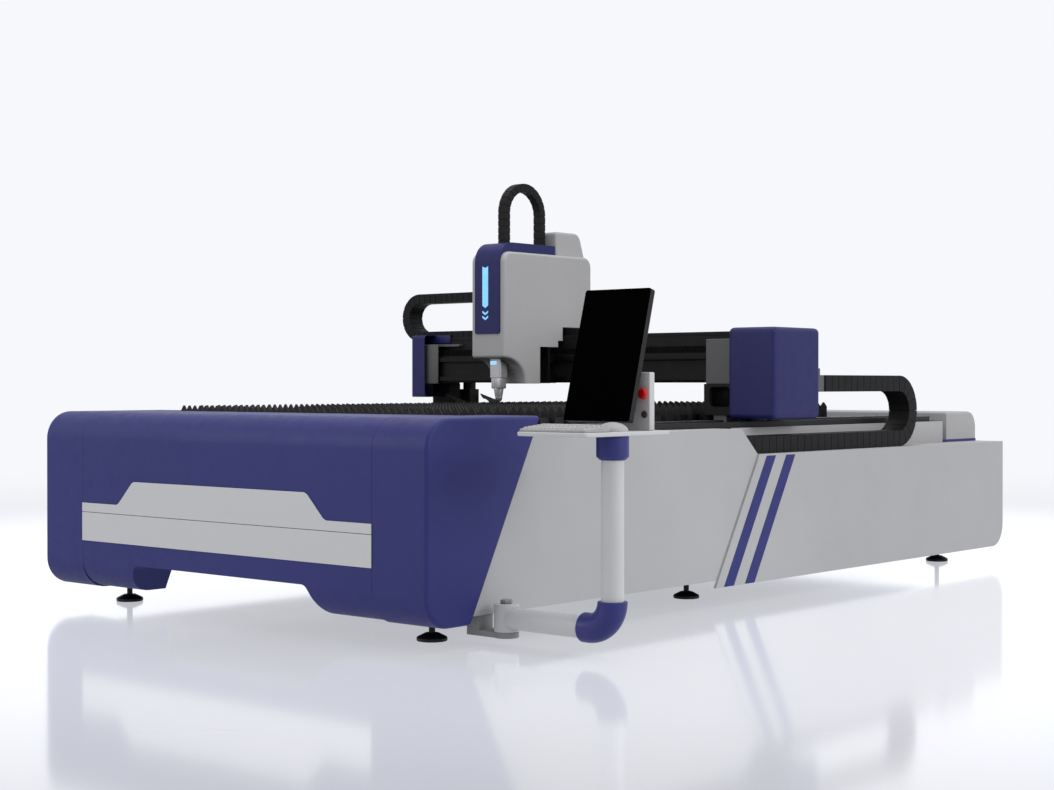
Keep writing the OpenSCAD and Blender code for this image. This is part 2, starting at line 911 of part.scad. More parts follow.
// Straight rack along +X, pitch line on the axis, teeth towards -Y
function rack_teeth(m, x0, x1, mid) =
    let (p = PI * m, add = 0.75 * m, ded = 1.15 * m, tip = 0.12 * p, root = 0.34 * p)
    [for (i = [ceil((x0 - mid) / p):floor((x1 - mid) / p) - 1])
        each [[mid + (i + 0.5) * p - root, ded], [mid + (i + 0.5) * p - tip, -add],
              [mid + (i + 0.5) * p + tip, -add], [mid + (i + 0.5) * p + root, ded]]];

module rack(m, x0, x1, mid, back) {
    polygon(concat([[x1, back], [x0, back], [x0, 1.15 * m]], rack_teeth(m, x0, x1, mid), [[x1, 1.15 * m]]));
}

module y_racks() {
    placed(steel) {
        translate([right_rack_x, 0, 0])
            along_z(beam_top_z, beam_top_z + rack_h)
                rotate([0, 0, -90])
                    rack(y_module, -rail_y1, -rail_y0, -pinion_y, rack_back);
        translate([left_rack_x, 0, 0])
            along_z(beam_top_z, beam_top_z + rack_h)
                rotate([0, 0, 90])
                    rack(y_module, rail_y0, rail_y1, pinion_y, rack_back);
    }
}

// Pinion with one tooth on +X
module pinion_outline(m) {
    r = m * pinion_teeth / 2;
    p = PI * m;
    tip = 0.13 * p;
    root = 0.3 * p;
    polygon([for (i = [0:pinion_teeth - 1])
        let (a = 360 * i / pinion_teeth, c = cos(a), s = sin(a))
        each [for (q = [[r - 1.05 * m, -root], [r + 0.75 * m, -tip], [r + 0.75 * m, tip], [r - 1.05 * m, root]])
            [q[0] * c - q[1] * s, q[0] * s + q[1] * c]]]);
}

module pinion_gear(m, z0, z1, r, z_shaft) {
    along_z(z0, z1)
        pinion_outline(m);
    translate([0, 0, z1])
        cylinder(h = z_shaft - z1, r = r);
}

y_gear_z0 = beam_top_z + pinion_gap;
y_gear_z1 = y_gear_z0 + rack_h;
y_shaft_z = saddle_top_z + 45;

module y_pinion_left() {
    placed(steel)
        translate([left_pinion_x, pinion_y, 0])
            rotate([0, 0, 180])
                pinion_gear(y_module, y_gear_z0, y_gear_z1, shaft_r, y_shaft_z);
}

module y_pinion_right() {
    placed(steel)
        translate([right_pinion_x, pinion_y, 0])
            pinion_gear(y_module, y_gear_z0, y_gear_z1, shaft_r, y_shaft_z);
}

// Gantry

module guide_block(x, y) {
    translate([x, y, 0])
        difference() {
            block([-block_w / 2, -block_l / 2, block_foot_z], [block_w / 2, block_l / 2, block_top_z]);
            block([-rail_w / 2 - run_gap, -block_l, 0], [rail_w / 2 + run_gap, block_l, rail_top_z + run_gap]);
        }
}

module y_guide_blocks() {
    placed(plate_grey)
        for (x = [left_rail_x, right_rail_x], y = [saddle_y0 + block_in, saddle_y1 - block_in])
            guide_block(x, y);
}

module saddle_window(x0, x1, z0, z1) {
    polygon(rounded([[x0, z0, 18], [x1, z0, 18], [x1, z1, 18], [x0, z1, 18]]));
}

module saddle_base(x0, x1, pinion_x) {
    difference() {
        block([x0, saddle_y0, block_top_z], [x1, saddle_y1, saddle_top_z]);
        translate([pinion_x, pinion_y, block_top_z - 1])
            cylinder(h = saddle_t + 2, r = shaft_r + 6);
    }
}

module gantry_saddles() {
    riser_top = beam_z - end_leaf_t;
    right_x1 = right_saddle_x1;
    left_x0 = left_rail_x - block_w / 2 - 12;
    left_x1 = left_pinion_x + motor_w / 2 + 3;
    placed(dark) {
        saddle_base(right_plate_x, right_x1, right_pinion_x);
        for (y = [saddle_y0, beam_back - 22])
            along_y(y, y + 22)
                difference() {
                    translate([right_plate_x, saddle_top_z])
                        square([right_x1 - right_plate_x, riser_top - saddle_top_z]);
                    saddle_window(right_plate_x + 30, right_x1 - 80, saddle_top_z + 12, riser_top - 14);
                }
        saddle_base(left_x0, left_x1, left_pinion_x);
        block([left_x0, beam_back - 85, saddle_top_z], [left_plate_x1, beam_back, riser_top]);
    }
}

module beam_outline(wall) {
    polygon([
        [beam_front + wall, beam_z + wall], [beam_back - wall, beam_z + wall],
        [beam_back - wall, beam_top - wall], [beam_front + beam_step + wall, beam_top - wall],
        [beam_front + beam_step + wall, beam_step_z - wall], [beam_front + wall, beam_step_z - wall]]);
}

module gantry_beam() {
    placed(dark)
        along_x(beam_x0, beam_x1)
            difference() {
                beam_outline(0);
                beam_outline(8);
            }
}

module beam_end_plates() {
    flange_t = 13;
    flange_l = 155;
    leaf_y0 = beam_front - end_plate_t;
    upper_y = beam_front + beam_step;
    placed(plate_grey) {
        block([right_plate_x, leaf_y0, beam_z], [beam_x1, beam_front, plate_top_z]);
        block([right_plate_x, leaf_y0, beam_z - end_leaf_t], [beam_x1, beam_back, beam_z]);
        block([beam_x0, leaf_y0, beam_z], [left_plate_x1, beam_front, plate_top_z]);
        block([beam_x0, leaf_y0, beam_z - end_leaf_t], [left_plate_x1, beam_back, beam_z]);
        block([beam_x0, beam_front, plate_top_z - flange_t], [left_plate_x1, upper_y, plate_top_z]);
        block([left_plate_x1, upper_y - 29, plate_top_z - flange_t], [left_plate_x1 + flange_l, upper_y, plate_top_z]);
    }
}

module left_cover_outline(inset) {
    foot_z = left_cover_z + inset;
    step_y = gantry_y + 86 - inset;
    rear_y = gantry_y + 302;
    low_top = beam_top - 11 - inset;
    polygon(rounded([
        [gantry_y + inset, foot_z, 20 - inset], [rear_y + inset, foot_z], [rear_y + inset, low_top],
        [step_y, low_top], [step_y, box_top_z - inset, 6], [gantry_y + inset, box_top_z - inset, 20 - inset]]));
}

module left_cover_form(x1, inset) {
    x0 = -box_x1 + inset;
    y0 = gantry_y + inset;
    top_z = box_top_z - inset;
    edge_r = 20 - inset;
    intersection() {
        along_x(x0, x1)
            left_cover_outline(inset);
        along_z(0, top_z)
            polygon(rounded([[x0, y0, edge_r], [x1, y0], [x1, y0 + box_d], [x0, y0 + box_d]]));
        along_y(y0, y0 + box_d)
            polygon(rounded([[x0, 0], [x1, 0], [x1, top_z], [x0, top_z, edge_r]]));
    }
}

module gantry_cover_left() {
    cover_x1 = -box_x1 + left_cover_front_w;
    placed(blue)
        difference() {
            left_cover_form(cover_x1, 0);
            left_cover_form(cover_x1 + 1, sheet_t);
            block([-box_x1 + sheet_t, beam_back - 90, 0], [cover_x1 + 1, gantry_y + 400, beam_z]);
            block([-box_x1 + sheet_t, beam_front + beam_step, beam_top - 20],
                  [cover_x1 + 1, gantry_y + 400, beam_top]);
        }
}

// Right cover rounded on all its edges, less tightly at the foot
module box_form(inset) {
    x0 = box_x0 + inset;
    x1 = box_x1 - inset;
    y0 = gantry_y + inset;
    y1 = gantry_y + box_d - inset;
    z0 = box_z + inset;
    z1 = box_top_z - inset;
    r = cover_r - inset;
    foot_r = cover_foot_r - inset;
    intersection() {
        along_x(x0, x1)
            round_rect(y0, y1, z0, z1, foot_r, r);
        along_y(y0, y1)
            round_rect(x0, x1, z0, z1, foot_r, r);
        along_z(z0, z1)
            round_rect(x0, x1, y0, y1, r, r);
    }
}

module gantry_cover_right() {
    opening_y0 = saddle_y0 - 4;
    opening_y1 = saddle_y1 + 7;
    placed(blue)
        difference() {
            box_form(0);
            box_form(sheet_t);
            block([box_x0 - 1, opening_y0, box_z - 1], [box_x0 + cover_r, opening_y1, beam_top + 10]);
            block([box_x0 - 1, opening_y0, box_z - 1],
                  [right_saddle_x1 + 6, opening_y1, box_z + cover_foot_r]);
        }
}

module y_motor(x) {
    reducer_h = 90;
    motor_r = 34;
    motor_h = 130;
    w = motor_w / 2;
    translate([x, pinion_y, saddle_top_z]) {
        difference() {
            block([-w, -w, 0], [w, w, reducer_h]);
            translate([0, 0, -1])
                cylinder(h = 52, r = shaft_r + bore_gap);
        }
        translate([0, 0, reducer_h])
            cylinder(h = motor_h, r = motor_r);
        translate([0, 0, reducer_h + motor_h])
            cylinder(h = 36, r = motor_r - 6);
    }
}

module y_motors() {
    placed(dark) {
        y_motor(left_pinion_x);
        y_motor(right_pinion_x);
    }
}

module x_rails() {
    placed(steel)
        for (z = [x_rail_low_z, x_rail_up_z])
            block([x_rail_x0, beam_front - x_rail_t, z], [x_rail_x1, beam_front, z + x_rail_w]);
}

module x_rack() {
    placed(steel)
        translate([0, beam_front, 0])
            along_z(beam_step_z, beam_step_z + x_rack_h)
                rack(x_module, x_rail_x0, x_rail_x1, head_mid, beam_step);
}

// Drag chains: straight runs and quarter bends of closed links with a groove between them

module bend(r, t) {
    intersection() {
        difference() {
            circle(r = r + t / 2, $fn = 96);
            circle(r = r - t / 2, $fn = 96);
        }
        children();
    }
}

// Run from corner to corner along the given direction
module chain_run(a, b, way, link) {
    cross = [for (k = [0:2]) k == way ? 0 : groove_d];
    count = round((b[way] - a[way]) / link);
    pitch = (b[way] - a[way]) / count;
    block(a + cross, b - cross);
    for (i = [0:count - 1])
        block([for (k = [0:2]) k == way ? a[k] + i * pitch + groove_w / 2 : a[k]],
              [for (k = [0:2]) k == way ? a[k] + (i + 1) * pitch - groove_w / 2 : b[k]]);
}

// Slice of a bend between two angles
module wedge(r, a0, a1) {
    far = 2 * r;
    polygon([[0, 0], far * [cos(a0), sin(a0)], far * [cos(a1), sin(a1)]]);
}

// Bend of width w from one angle to another, with half a running gap at the loose end
module chain_bend(r, t, w, a0, a1, link, loose) {
    count = round((a1 - a0) * PI * r / 180 / link);
    step = (a1 - a0) / count;
    half_groove = groove_w / 2 / r * 180 / PI;
    gap = run_gap / 2 / r * 180 / PI;
    core_a0 = a0 + (loose < 0 ? gap : 0);
    core_a1 = a1 - (loose > 0 ? gap : 0);
    along_z(groove_d, w - groove_d)
        bend(r, t - 2 * groove_d)
            for (i = [0:count - 1])
                wedge(r, max(core_a0, a0 + i * step), min(core_a1, a0 + (i + 1) * step));
    along_z(0, w)
        for (i = [0:count - 1])
            bend(r, t)
                wedge(r, a0 + i * step + half_groove, a0 + (i + 1) * step - half_groove);
}

module y_chain_bracket() {
    placed(plate_grey) {
        block([y_chain_x0 + 8, gantry_y + box_d, y_up_z], [y_chain_x1 - 8, y_bracket_y1, y_up_z + y_chain_t]);
        block([y_chain_x0 + 8, gantry_y + box_d, y_up_z + y_chain_t],
              [y_chain_x1 - 8, y_bracket_y1 - 36, y_up_z + y_chain_t + 32]);
    }
}

module y_chain_lower_run() {
    placed(chain_black)
        chain_run([y_chain_x0, y_chain_front, y_low_z], [y_chain_x1, y_bend_y, y_low_z + y_chain_t], 1, y_link);
}

module y_chain_upper_run() {
    placed(chain_black)
        chain_run([y_chain_x0, y_bracket_y1, y_up_z], [y_chain_x1, y_bend_y, y_up_z + y_chain_t], 1, y_link);
}

module y_bend_place() {
    placed(chain_black)
        translate([y_chain_x0, y_bend_y, y_mid_z])
            rotate([90, 0, 90])
                children();
}

module y_chain_bend_lower() {
    y_bend_place()
        chain_bend(y_chain_r, y_chain_t, y_chain_w, -90, 0, y_link, 1);
}

module y_chain_bend_upper() {
    y_bend_place()
        chain_bend(y_chain_r, y_chain_t, y_chain_w, 0, 90, y_link, -1);
}

module x_chain_lower_run() {
    placed(chain_black)
        chain_run([x_bend_x, x_chain_y0, x_low_z],
                  [x_chain_end, x_chain_y0 + x_chain_w, x_low_z + x_chain_t], 0, x_link);
}

module x_chain_upper_run() {
    placed(chain_black)
        chain_run([x_bend_x, x_chain_y0, x_up_z],
                  [head_x, x_chain_y0 + x_chain_w, x_up_z + x_chain_t], 0, x_link);
}

module x_bend_place() {
    placed(chain_black)
        translate([x_bend_x, x_chain_y0 + x_chain_w, x_mid_z])
            rotate([90, 0, 0])
                children();
}

module x_chain_bend_lower() {
    x_bend_place()
        chain_bend(x_chain_r, x_chain_t, x_chain_w, 180, 270, x_link, -1);
}

module x_chain_bend_upper() {
    x_bend_place()
        chain_bend(x_chain_r, x_chain_t, x_chain_w, 90, 180, x_link, 1);
}

module z_chain() {
    x0 = head_mid - z_chain_w / 2;
    x1 = head_mid + z_chain_w / 2;
    leg = z_chain_t / 2;
    placed(chain_black) {
        translate([x0, z_front_y + z_chain_r, z_bend_z])
            rotate([90, 0, 90])
                chain_bend(z_chain_r, z_chain_t, z_chain_w, 0, 180, z_link, 0);
        chain_run([x0, z_front_y - leg, slide_z1], [x1, z_front_y + leg, z_bend_z], 2, z_link);
        chain_run([x0, z_rear_y - leg, trim_top_z], [x1, z_rear_y + leg, z_bend_z], 2, z_link);
    }
}

// Carriage on the beam

module carriage_plate() {
    bracket_w = 100;
    bracket_z0 = head_lip_z + 14;
    bracket_z1 = slide_z1 + 170;
    hole_z = beam_z + beam_low_h / 2;
    placed(plate_grey) {
        difference() {
            block([head_x + sheet_t, plate_y0, beam_z - 3], [head_x1 - sheet_t, plate_y1, span_z - 8]);
            translate([head_mid, plate_y0 - 1, hole_z])
                rotate([-90, 0, 0])
                    cylinder(h = plate_y1 - plate_y0 + 2, r = 26);
        }
        block([head_mid - bracket_w / 2, arm_front, bracket_z0], [head_mid + bracket_w / 2, plate_y0, bracket_z1]);
        block([head_mid - z_rail_w / 2, z_rail_front, bracket_z0 - 10],
              [head_mid + z_rail_w / 2, arm_front, bracket_z1 + 10]);
    }
}

module x_guide_block(x, rail_z) {
    half = 35;
    wrap = 12;
    difference() {
        block([x - half, plate_y1, rail_z - wrap], [x + half, beam_front - run_gap, rail_z + x_rail_w + wrap - 3]);
        block([x - half - 1, beam_front - x_rail_t - run_gap, rail_z - run_gap],
              [x + half + 1, beam_front + 1, rail_z + x_rail_w + run_gap]);
    }
}

module x_guide_blocks() {
    placed(steel)
        for (x = [head_mid - 54, head_mid + 54], z = [x_rail_low_z, x_rail_up_z])
            x_guide_block(x, z);
}

x_gear_z0 = beam_step_z + 3;
x_gear_z1 = beam_step_z + x_rack_h - 3;
x_motor_z0 = x_gear_z1 + 8;

module x_motor() {
    w = x_motor_w / 2;
    bore_r = 8 + bore_gap;
    placed(dark)
        translate([head_mid, pinion_mid_y, 0])
            difference() {
                block([-w, plate_y1 - pinion_mid_y, x_motor_z0], [w, w, span_z - 12]);
                translate([0, 0, x_motor_z0 - 1])
                    cylinder(h = 46, r = bore_r);
            }
}

module x_pinion() {
    placed(steel)
        translate([head_mid, pinion_mid_y, 0])
            rotate([0, 0, 90])
                pinion_gear(x_module, x_gear_z0, x_gear_z1, 8, x_motor_z0 + 40);
}

// Side outline of the head cover: round cut for the torch, leg in front of the beam, span over it
module head_outline(inset, past) {
    cut_w = leg_front - head_y;
    cut_h = head_lip_z - head_leg_z;
    difference() {
        polygon(rounded([
            [head_y + inset, head_leg_z - past],
            [leg_back + past, head_leg_z - past],
            [leg_back + past, neck_z - past],
            [neck_y + past, neck_z - past],
            [neck_y + past, span_z - past],
            [head_back - inset, span_z - past],
            [head_back - inset, head_top_z - inset, head_top_r - inset],
            [head_y + inset, head_top_z - inset, head_top_r - inset]]));
        translate([head_y, head_leg_z])
            head_cut(cut_w, cut_h, past);
    }
}

module head_cut(w, h, past) {
    polygon(concat([[-1, -past - 1], [-1, h - past]],
        [for (i = [0:12]) [w * sin(90 * i / 12), h * cos(90 * i / 12) - past]], [[w, -past - 1]]));
}

module chain_slot_cut(z0, z1) {
    block([head_mid - z_chain_w / 2 - chain_slot, z_front_y - z_chain_t / 2 - chain_slot, z0],
          [head_mid + z_chain_w / 2 + chain_slot, z_front_y + z_chain_t / 2 + chain_slot, z1]);
}

// Outside or, drawn in, inside of the head cover
module head_form(inset, past) {
    x0 = head_x + inset;
    x1 = head_x1 - inset;
    r = head_r - inset;
    intersection() {
        along_x(x0, x1)
            head_outline(inset, past);
        along_z(head_leg_z - past, head_top_z)
            round_rect(x0, x1, head_y + inset, head_back - inset, r, r);
    }
}

module head_cover() {
    placed(light)
        difference() {
            head_form(0, 0);
            head_form(sheet_t, 30);
            chain_slot_cut(head_top_z - 20, head_top_z + 1);
        }
}

module trim_outline() {
    foot_y = head_y + head_r;
    polygon(rounded([
        [head_y - trim_proud, trim_z, 4], [foot_y, trim_z], [foot_y, head_top_z - head_top_r],
        [trim_back, head_top_z - head_top_r], [trim_back, trim_top_z, 12],
        [head_y - trim_proud, trim_top_z, head_top_r + 2]]));
}

// Trim that lies on the head cover, its own edges rounded
module head_trim() {
    trim_in = 6;
    edge_r = 10;
    x0 = head_x + trim_in;
    x1 = head_x1 - trim_in;
    front = head_y - trim_proud;
    placed(blue)
        difference() {
            intersection() {
                along_x(x0, x1)
                    trim_outline();
                along_z(trim_z, trim_top_z)
                    round_rect(x0, x1, front, trim_back, edge_r, 0);
                along_y(front, trim_back)
                    round_rect(x0, x1, trim_z, trim_top_z, edge_r, edge_r);
            }
            head_form(0, 0);
            chain_slot_cut(head_top_z - 60, trim_top_z + 1);
        }
}

module head_light() {
    light_t = 3;
    light_x = head_mid - 10;
    light_w = 36;
    strip_z0 = trim_z + 125;
    strip_z1 = strip_z0 + 202;
    chevron_h = 22;
    chevron_pitch = 24;
    front = head_y - trim_proud;
    x0 = light_x - light_w / 2;
    x1 = light_x + light_w / 2;
    placed([0.47, 0.75, 0.96])
        along_y(front - light_t, front) {
            polygon([[x0, strip_z0 + 12], [light_x, strip_z0], [x1, strip_z0 + 12],
                     [x1, strip_z1], [light_x, strip_z1 - 8], [x0, strip_z1]]);
            for (i = [1:2])
                translate([0, strip_z0 - 11 - i * chevron_pitch])
                    polygon([[x0, chevron_h], [light_x, chevron_h - 12], [x1, chevron_h],
                             [x1, 12], [light_x, 0], [x0, 12]]);
        }
}

module motor_outline(inset) {
    cover_y0 = trim_back + 20;
    foot = head_top_z - (inset > 0 ? 1 : 0);
    polygon(rounded([
        [cover_y0 + inset, foot], [head_back - 10 - inset, foot],
        [head_back - 10 - inset, motor_top_z - inset, 50 - inset],
        [cover_y0 + inset, motor_top_z - inset, 16 - inset]]));
}

module motor_form(inset) {
    x0 = head_mid - 72 + inset;
    x1 = head_mid + 72 - inset;
    edge_r = 16 - inset;
    intersection() {
        along_x(x0, x1)
            motor_outline(inset);
        along_y(trim_back, head_back)
            round_rect(x0, x1, head_top_z - 1, motor_top_z - inset, 0, edge_r);
    }
}

module motor_cover() {
    placed(light)
        difference() {
            motor_form(0);
            motor_form(sheet_t);
        }
}

// Cutting head

module z_slide() {
    half = 45;
    placed(plate_grey)
        difference() {
            block([head_mid - half, torch_back, slide_z0], [head_mid + half, slide_back, slide_z1]);
            block([head_mid - z_rail_w / 2 - run_gap, z_rail_front - run_gap, slide_z0 - 1],
                  [head_mid + z_rail_w / 2 + run_gap, slide_back + 1, slide_z1 + 1]);
        }
}

torch_mid_y = torch_y + torch_d / 2;
nozzle_top_z = nozzle_z + 24;

module cutting_head() {
    barrel_r = min(torch_w, torch_d) / 2 - 2;
    body_z = nozzle_z + 118;
    placed(silver)
        translate([head_mid, torch_mid_y, 0]) {
            along_z(body_z, slide_z1 - 10)
                polygon(rounded([
                    [-torch_w / 2, -torch_d / 2, 8], [torch_w / 2, -torch_d / 2, 8],
                    [torch_w / 2, torch_d / 2, 8], [-torch_w / 2, torch_d / 2, 8]]));
            rotate_extrude()
                polygon([[0, nozzle_top_z], [13, nozzle_top_z], [16, nozzle_top_z + 4], [20, nozzle_top_z + 32],
                         [24, nozzle_top_z + 36], [24, body_z - 34], [barrel_r, body_z - 28],
                         [barrel_r, body_z], [0, body_z]]);
        }
}

module nozzle() {
    placed([0.72, 0.45, 0.25])
        translate([head_mid, torch_mid_y, 0])
            rotate_extrude()
                polygon([[1.5, nozzle_z], [5, nozzle_z], [11, nozzle_top_z - 9], [11, nozzle_top_z], [1.5, nozzle_top_z]]);
}

// Operator console

module arm_bracket() {
    hanger_x0 = face_x - rim - seam - 60;
    hanger_x1 = face_x - rim - seam;
    hanger_half = 40;
    placed(light) {
        block([hanger_x0, arm_y - hanger_half, ear_z], [hanger_x1, arm_y + hanger_half, beam_foot_z]);
        block([hanger_x1, arm_y - hanger_half, ear_z], [pivot_x, arm_y + hanger_half, ear_z + ear_t]);
        translate([pivot_x, arm_y, ear_z]) {
            cylinder(h = ear_t, r = knuckle_r);
            cylinder(h = ear_t + pipe_d + 22, r = pin_r);
        }
        translate([pivot_x, arm_y, ear_z + ear_t + pipe_d + 22])
            cylinder(h = 14, r = pin_r + 9, $fn = 6);
    }
}

module console_pipes() {
    knuckle_z0 = ear_z + ear_t + run_gap;
    elbow_x0 = post_x - elbow_r - elbow_straight;
    placed(silver)
        difference() {
            union() {
                translate([pivot_x, arm_y, knuckle_z0])
                    cylinder(h = pipe_d + 22 - 2 * run_gap, r = knuckle_r);
                translate([pivot_x, arm_y, arm_z])
                    rotate([0, 90, 0])
                        cylinder(h = elbow_x0 - pivot_x, r = pipe_d / 2);
                translate([post_x, arm_y, arm_z + elbow_r])
                    difference() {
                        cylinder(h = collar_z - arm_z - elbow_r, r = pipe_d / 2);
                        translate([0, 0, -1])
                            cylinder(h = collar_z - arm_z - elbow_r + 2, r = pipe_d / 2 - pipe_wall);
                    }
            }
            translate([pivot_x, arm_y, knuckle_z0 - 1])
                cylinder(h = pipe_d + 24, r = pin_r + bore_gap);
            translate([pivot_x + knuckle_r + 10, arm_y, arm_z])
                rotate([0, 90, 0])
                    cylinder(h = arm_l, r = pipe_d / 2 - pipe_wall);
        }
}

module arm_elbow() {
    placed(blue) {
        translate([post_x - elbow_r, arm_y, arm_z + elbow_r])
            rotate([90, 0, 0])
                rotate([0, 0, -90])
                    rotate_extrude(angle = 90, $fn = 96)
                        translate([elbow_r, 0])
                            circle(r = elbow_d / 2);
        translate([post_x - elbow_r - elbow_straight, arm_y, arm_z])
            rotate([0, 90, 0])
                cylinder(h = elbow_straight, r = elbow_d / 2);
    }
}

module post_collar() {
    chamfer = 12;
    r = collar_d / 2;
    placed(blue)
        translate([post_x, arm_y, 0])
            rotate_extrude()
                polygon([[0, collar_z], [r - chamfer, collar_z], [r, collar_z + chamfer], [r, collar_top_z - 2],
                         [r - 2, collar_top_z], [0, collar_top_z]]);
}

module swivel_cap() {
    r = collar_d / 2 - 2;
    base_z = collar_top_z + run_gap;
    dome_h = cap_top_z - tray_top_z;
    placed(light)
        translate([post_x, arm_y, 0])
            rotate_extrude()
                polygon(concat([[0, base_z], [r, base_z]],
                    [for (i = [0:11]) [r * cos(90 * i / 12), tray_top_z + dome_h * sin(90 * i / 12)]],
                    [[0, cap_top_z]]));
}

module keyboard_tray() {
    tray_r = 24;
    placed(light)
        difference() {
            along_z(tray_z, tray_top_z)
                polygon(rounded([
                    [tray_x0, arm_y - tray_front, tray_r], [tray_x1, arm_y - tray_front, tray_r],
                    [tray_x1, arm_y + tray_rear, tray_r], [tray_x0, arm_y + tray_rear, tray_r]]));
            translate([post_x, arm_y, tray_z - 1])
                cylinder(h = tray_t + 2, r = collar_d / 2 - 2 + bore_gap);
        }
}

module button_bore(x, z, r, depth) {
    translate([x, box_front - 1, z])
        rotate([-90, 0, 0])
            cylinder(h = depth + 1, r = r);
}

ear_w = 15;
lug_w = 88;
ear_x0 = button_box_x0 + 20;
lug_x0 = ear_x0 + ear_w + run_gap;
ear_x1 = lug_x0 + lug_w + run_gap;

module button_box() {
    placed(light) {
        difference() {
            along_x(button_box_x0, button_box_x1)
                polygon(rounded([
                    [box_front, tray_top_z], [box_back, tray_top_z],
                    [box_back, button_box_z, 20], [box_front, button_box_z, 8]]));
            button_bore(estop_x, estop_z, 11 + bore_gap, 30);
            button_bore(estop_x, button_z, button_d / 2 + bore_gap, 20);
        }
        for (x = [ear_x0, ear_x1])
            along_x(x, x + ear_w)
                union() {
                    translate([tilt_y, tilt_z])
                        circle(r = lug_r);
                    translate([tilt_y - lug_r, button_box_z - 1])
                        square([2 * lug_r, tilt_z - button_box_z + 1]);
                }
        translate([ear_x0, tilt_y, tilt_z])
            rotate([0, 90, 0])
                cylinder(h = ear_x1 + ear_w - ear_x0, r = tilt_pin_r);
    }
}

// The monitor's own frame: X across, Y through its thickness, Z up its face
module leaned() {
    translate([monitor_x0, monitor_foot_y, monitor_foot_z])
        rotate([-monitor_lean, 0, 0])
            children();
}

screen_t = 2;

module monitor_shell() {
    corner_r = 9;
    placed(dark) {
        leaned()
            along_y(screen_t, monitor_t)
                polygon(rounded([
                    [0, 0, corner_r], [monitor_w, 0, corner_r],
                    [monitor_w, monitor_h, corner_r], [0, monitor_h, corner_r]]));
        difference() {
            translate([lug_x0, 0, 0])
                along_x(0, lug_w)
                    union() {
                        translate([tilt_y, tilt_z])
                            circle(r = lug_r);
                        polygon([
                            [tilt_y, tilt_z + lug_r], [tilt_y, tilt_z - lug_r],
                            [lug_foot(tilt_z - lug_r), tilt_z - lug_r], [lug_foot(tilt_z + lug_r), tilt_z + lug_r]]);
                    }
            translate([lug_x0 - 1, tilt_y, tilt_z])
                rotate([0, 90, 0])
                    cylinder(h = lug_w + 2, r = tilt_pin_r + bore_gap);
        }
    }
}

// Depth of the leaned monitor's middle at height z
function lug_foot(z) =
    monitor_foot_y + (z - monitor_foot_z) * tan(monitor_lean) + (monitor_t / 2) / cos(monitor_lean);

module monitor_screen() {
    corner_r = 9;
    placed([0.03, 0.03, 0.03])
        leaned()
            along_y(0, screen_t)
                polygon(rounded([
                    [0, 0, corner_r], [monitor_w, 0, corner_r],
                    [monitor_w, monitor_h, corner_r], [0, monitor_h, corner_r]]));
}

module estop_button() {
    stem_r = 11;
    head_gap = button_travel + 2;
    placed([0.78, 0, 0])
        translate([estop_x, box_front, estop_z])
            rotate([90, 0, 0])
                rotate_extrude()
                    polygon([[0, -20], [stem_r, -20], [stem_r, head_gap], [estop_d / 2 - 4, head_gap],
                             [estop_d / 2, head_gap + 4], [estop_d / 2, head_gap + 10], [estop_d / 2 - 6, head_gap + 15],
                             [0, head_gap + 16]]);
}

module start_button() {
    r = button_d / 2;
    placed([0.2, 0.18, 0.17])
        translate([estop_x, box_front, button_z])
            rotate([90, 0, 0])
                rotate_extrude()
                    polygon([[0, -12], [r, -12], [r, 5], [r - 2, 7], [0, 7]]);
}

bed_beams();
bed_crossmembers();
levelling_feet();
slag_tray();
table_combs();
slats();
sheet_stops();
front_panel();
front_caps();
front_band();
side_panels_front();
side_panels_rear();
side_stripes();
rear_panel();
rear_hood();
y_rails();
y_racks();
arm_bracket();
y_chain_lower_run();
y_chain_bend_lower();
gantry_saddles();
y_guide_blocks();
gantry_beam();
beam_end_plates();
gantry_cover_left();
gantry_cover_right();
y_motors();
y_pinion_left();
y_pinion_right();
x_rails();
x_rack();
y_chain_bracket();
y_chain_upper_run();
y_chain_bend_upper();
x_chain_lower_run();
x_chain_bend_lower();
x_chain_bend_upper();
x_chain_upper_run();
carriage_plate();
x_guide_blocks();
x_motor();
x_pinion();
head_cover();
head_trim();
head_light();
motor_cover();
z_chain();
z_slide();
cutting_head();
nozzle();
console_pipes();
arm_elbow();
post_collar();
swivel_cap();
keyboard_tray();
button_box();
monitor_shell();
monitor_screen();
estop_button();
start_button();
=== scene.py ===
import json
import math

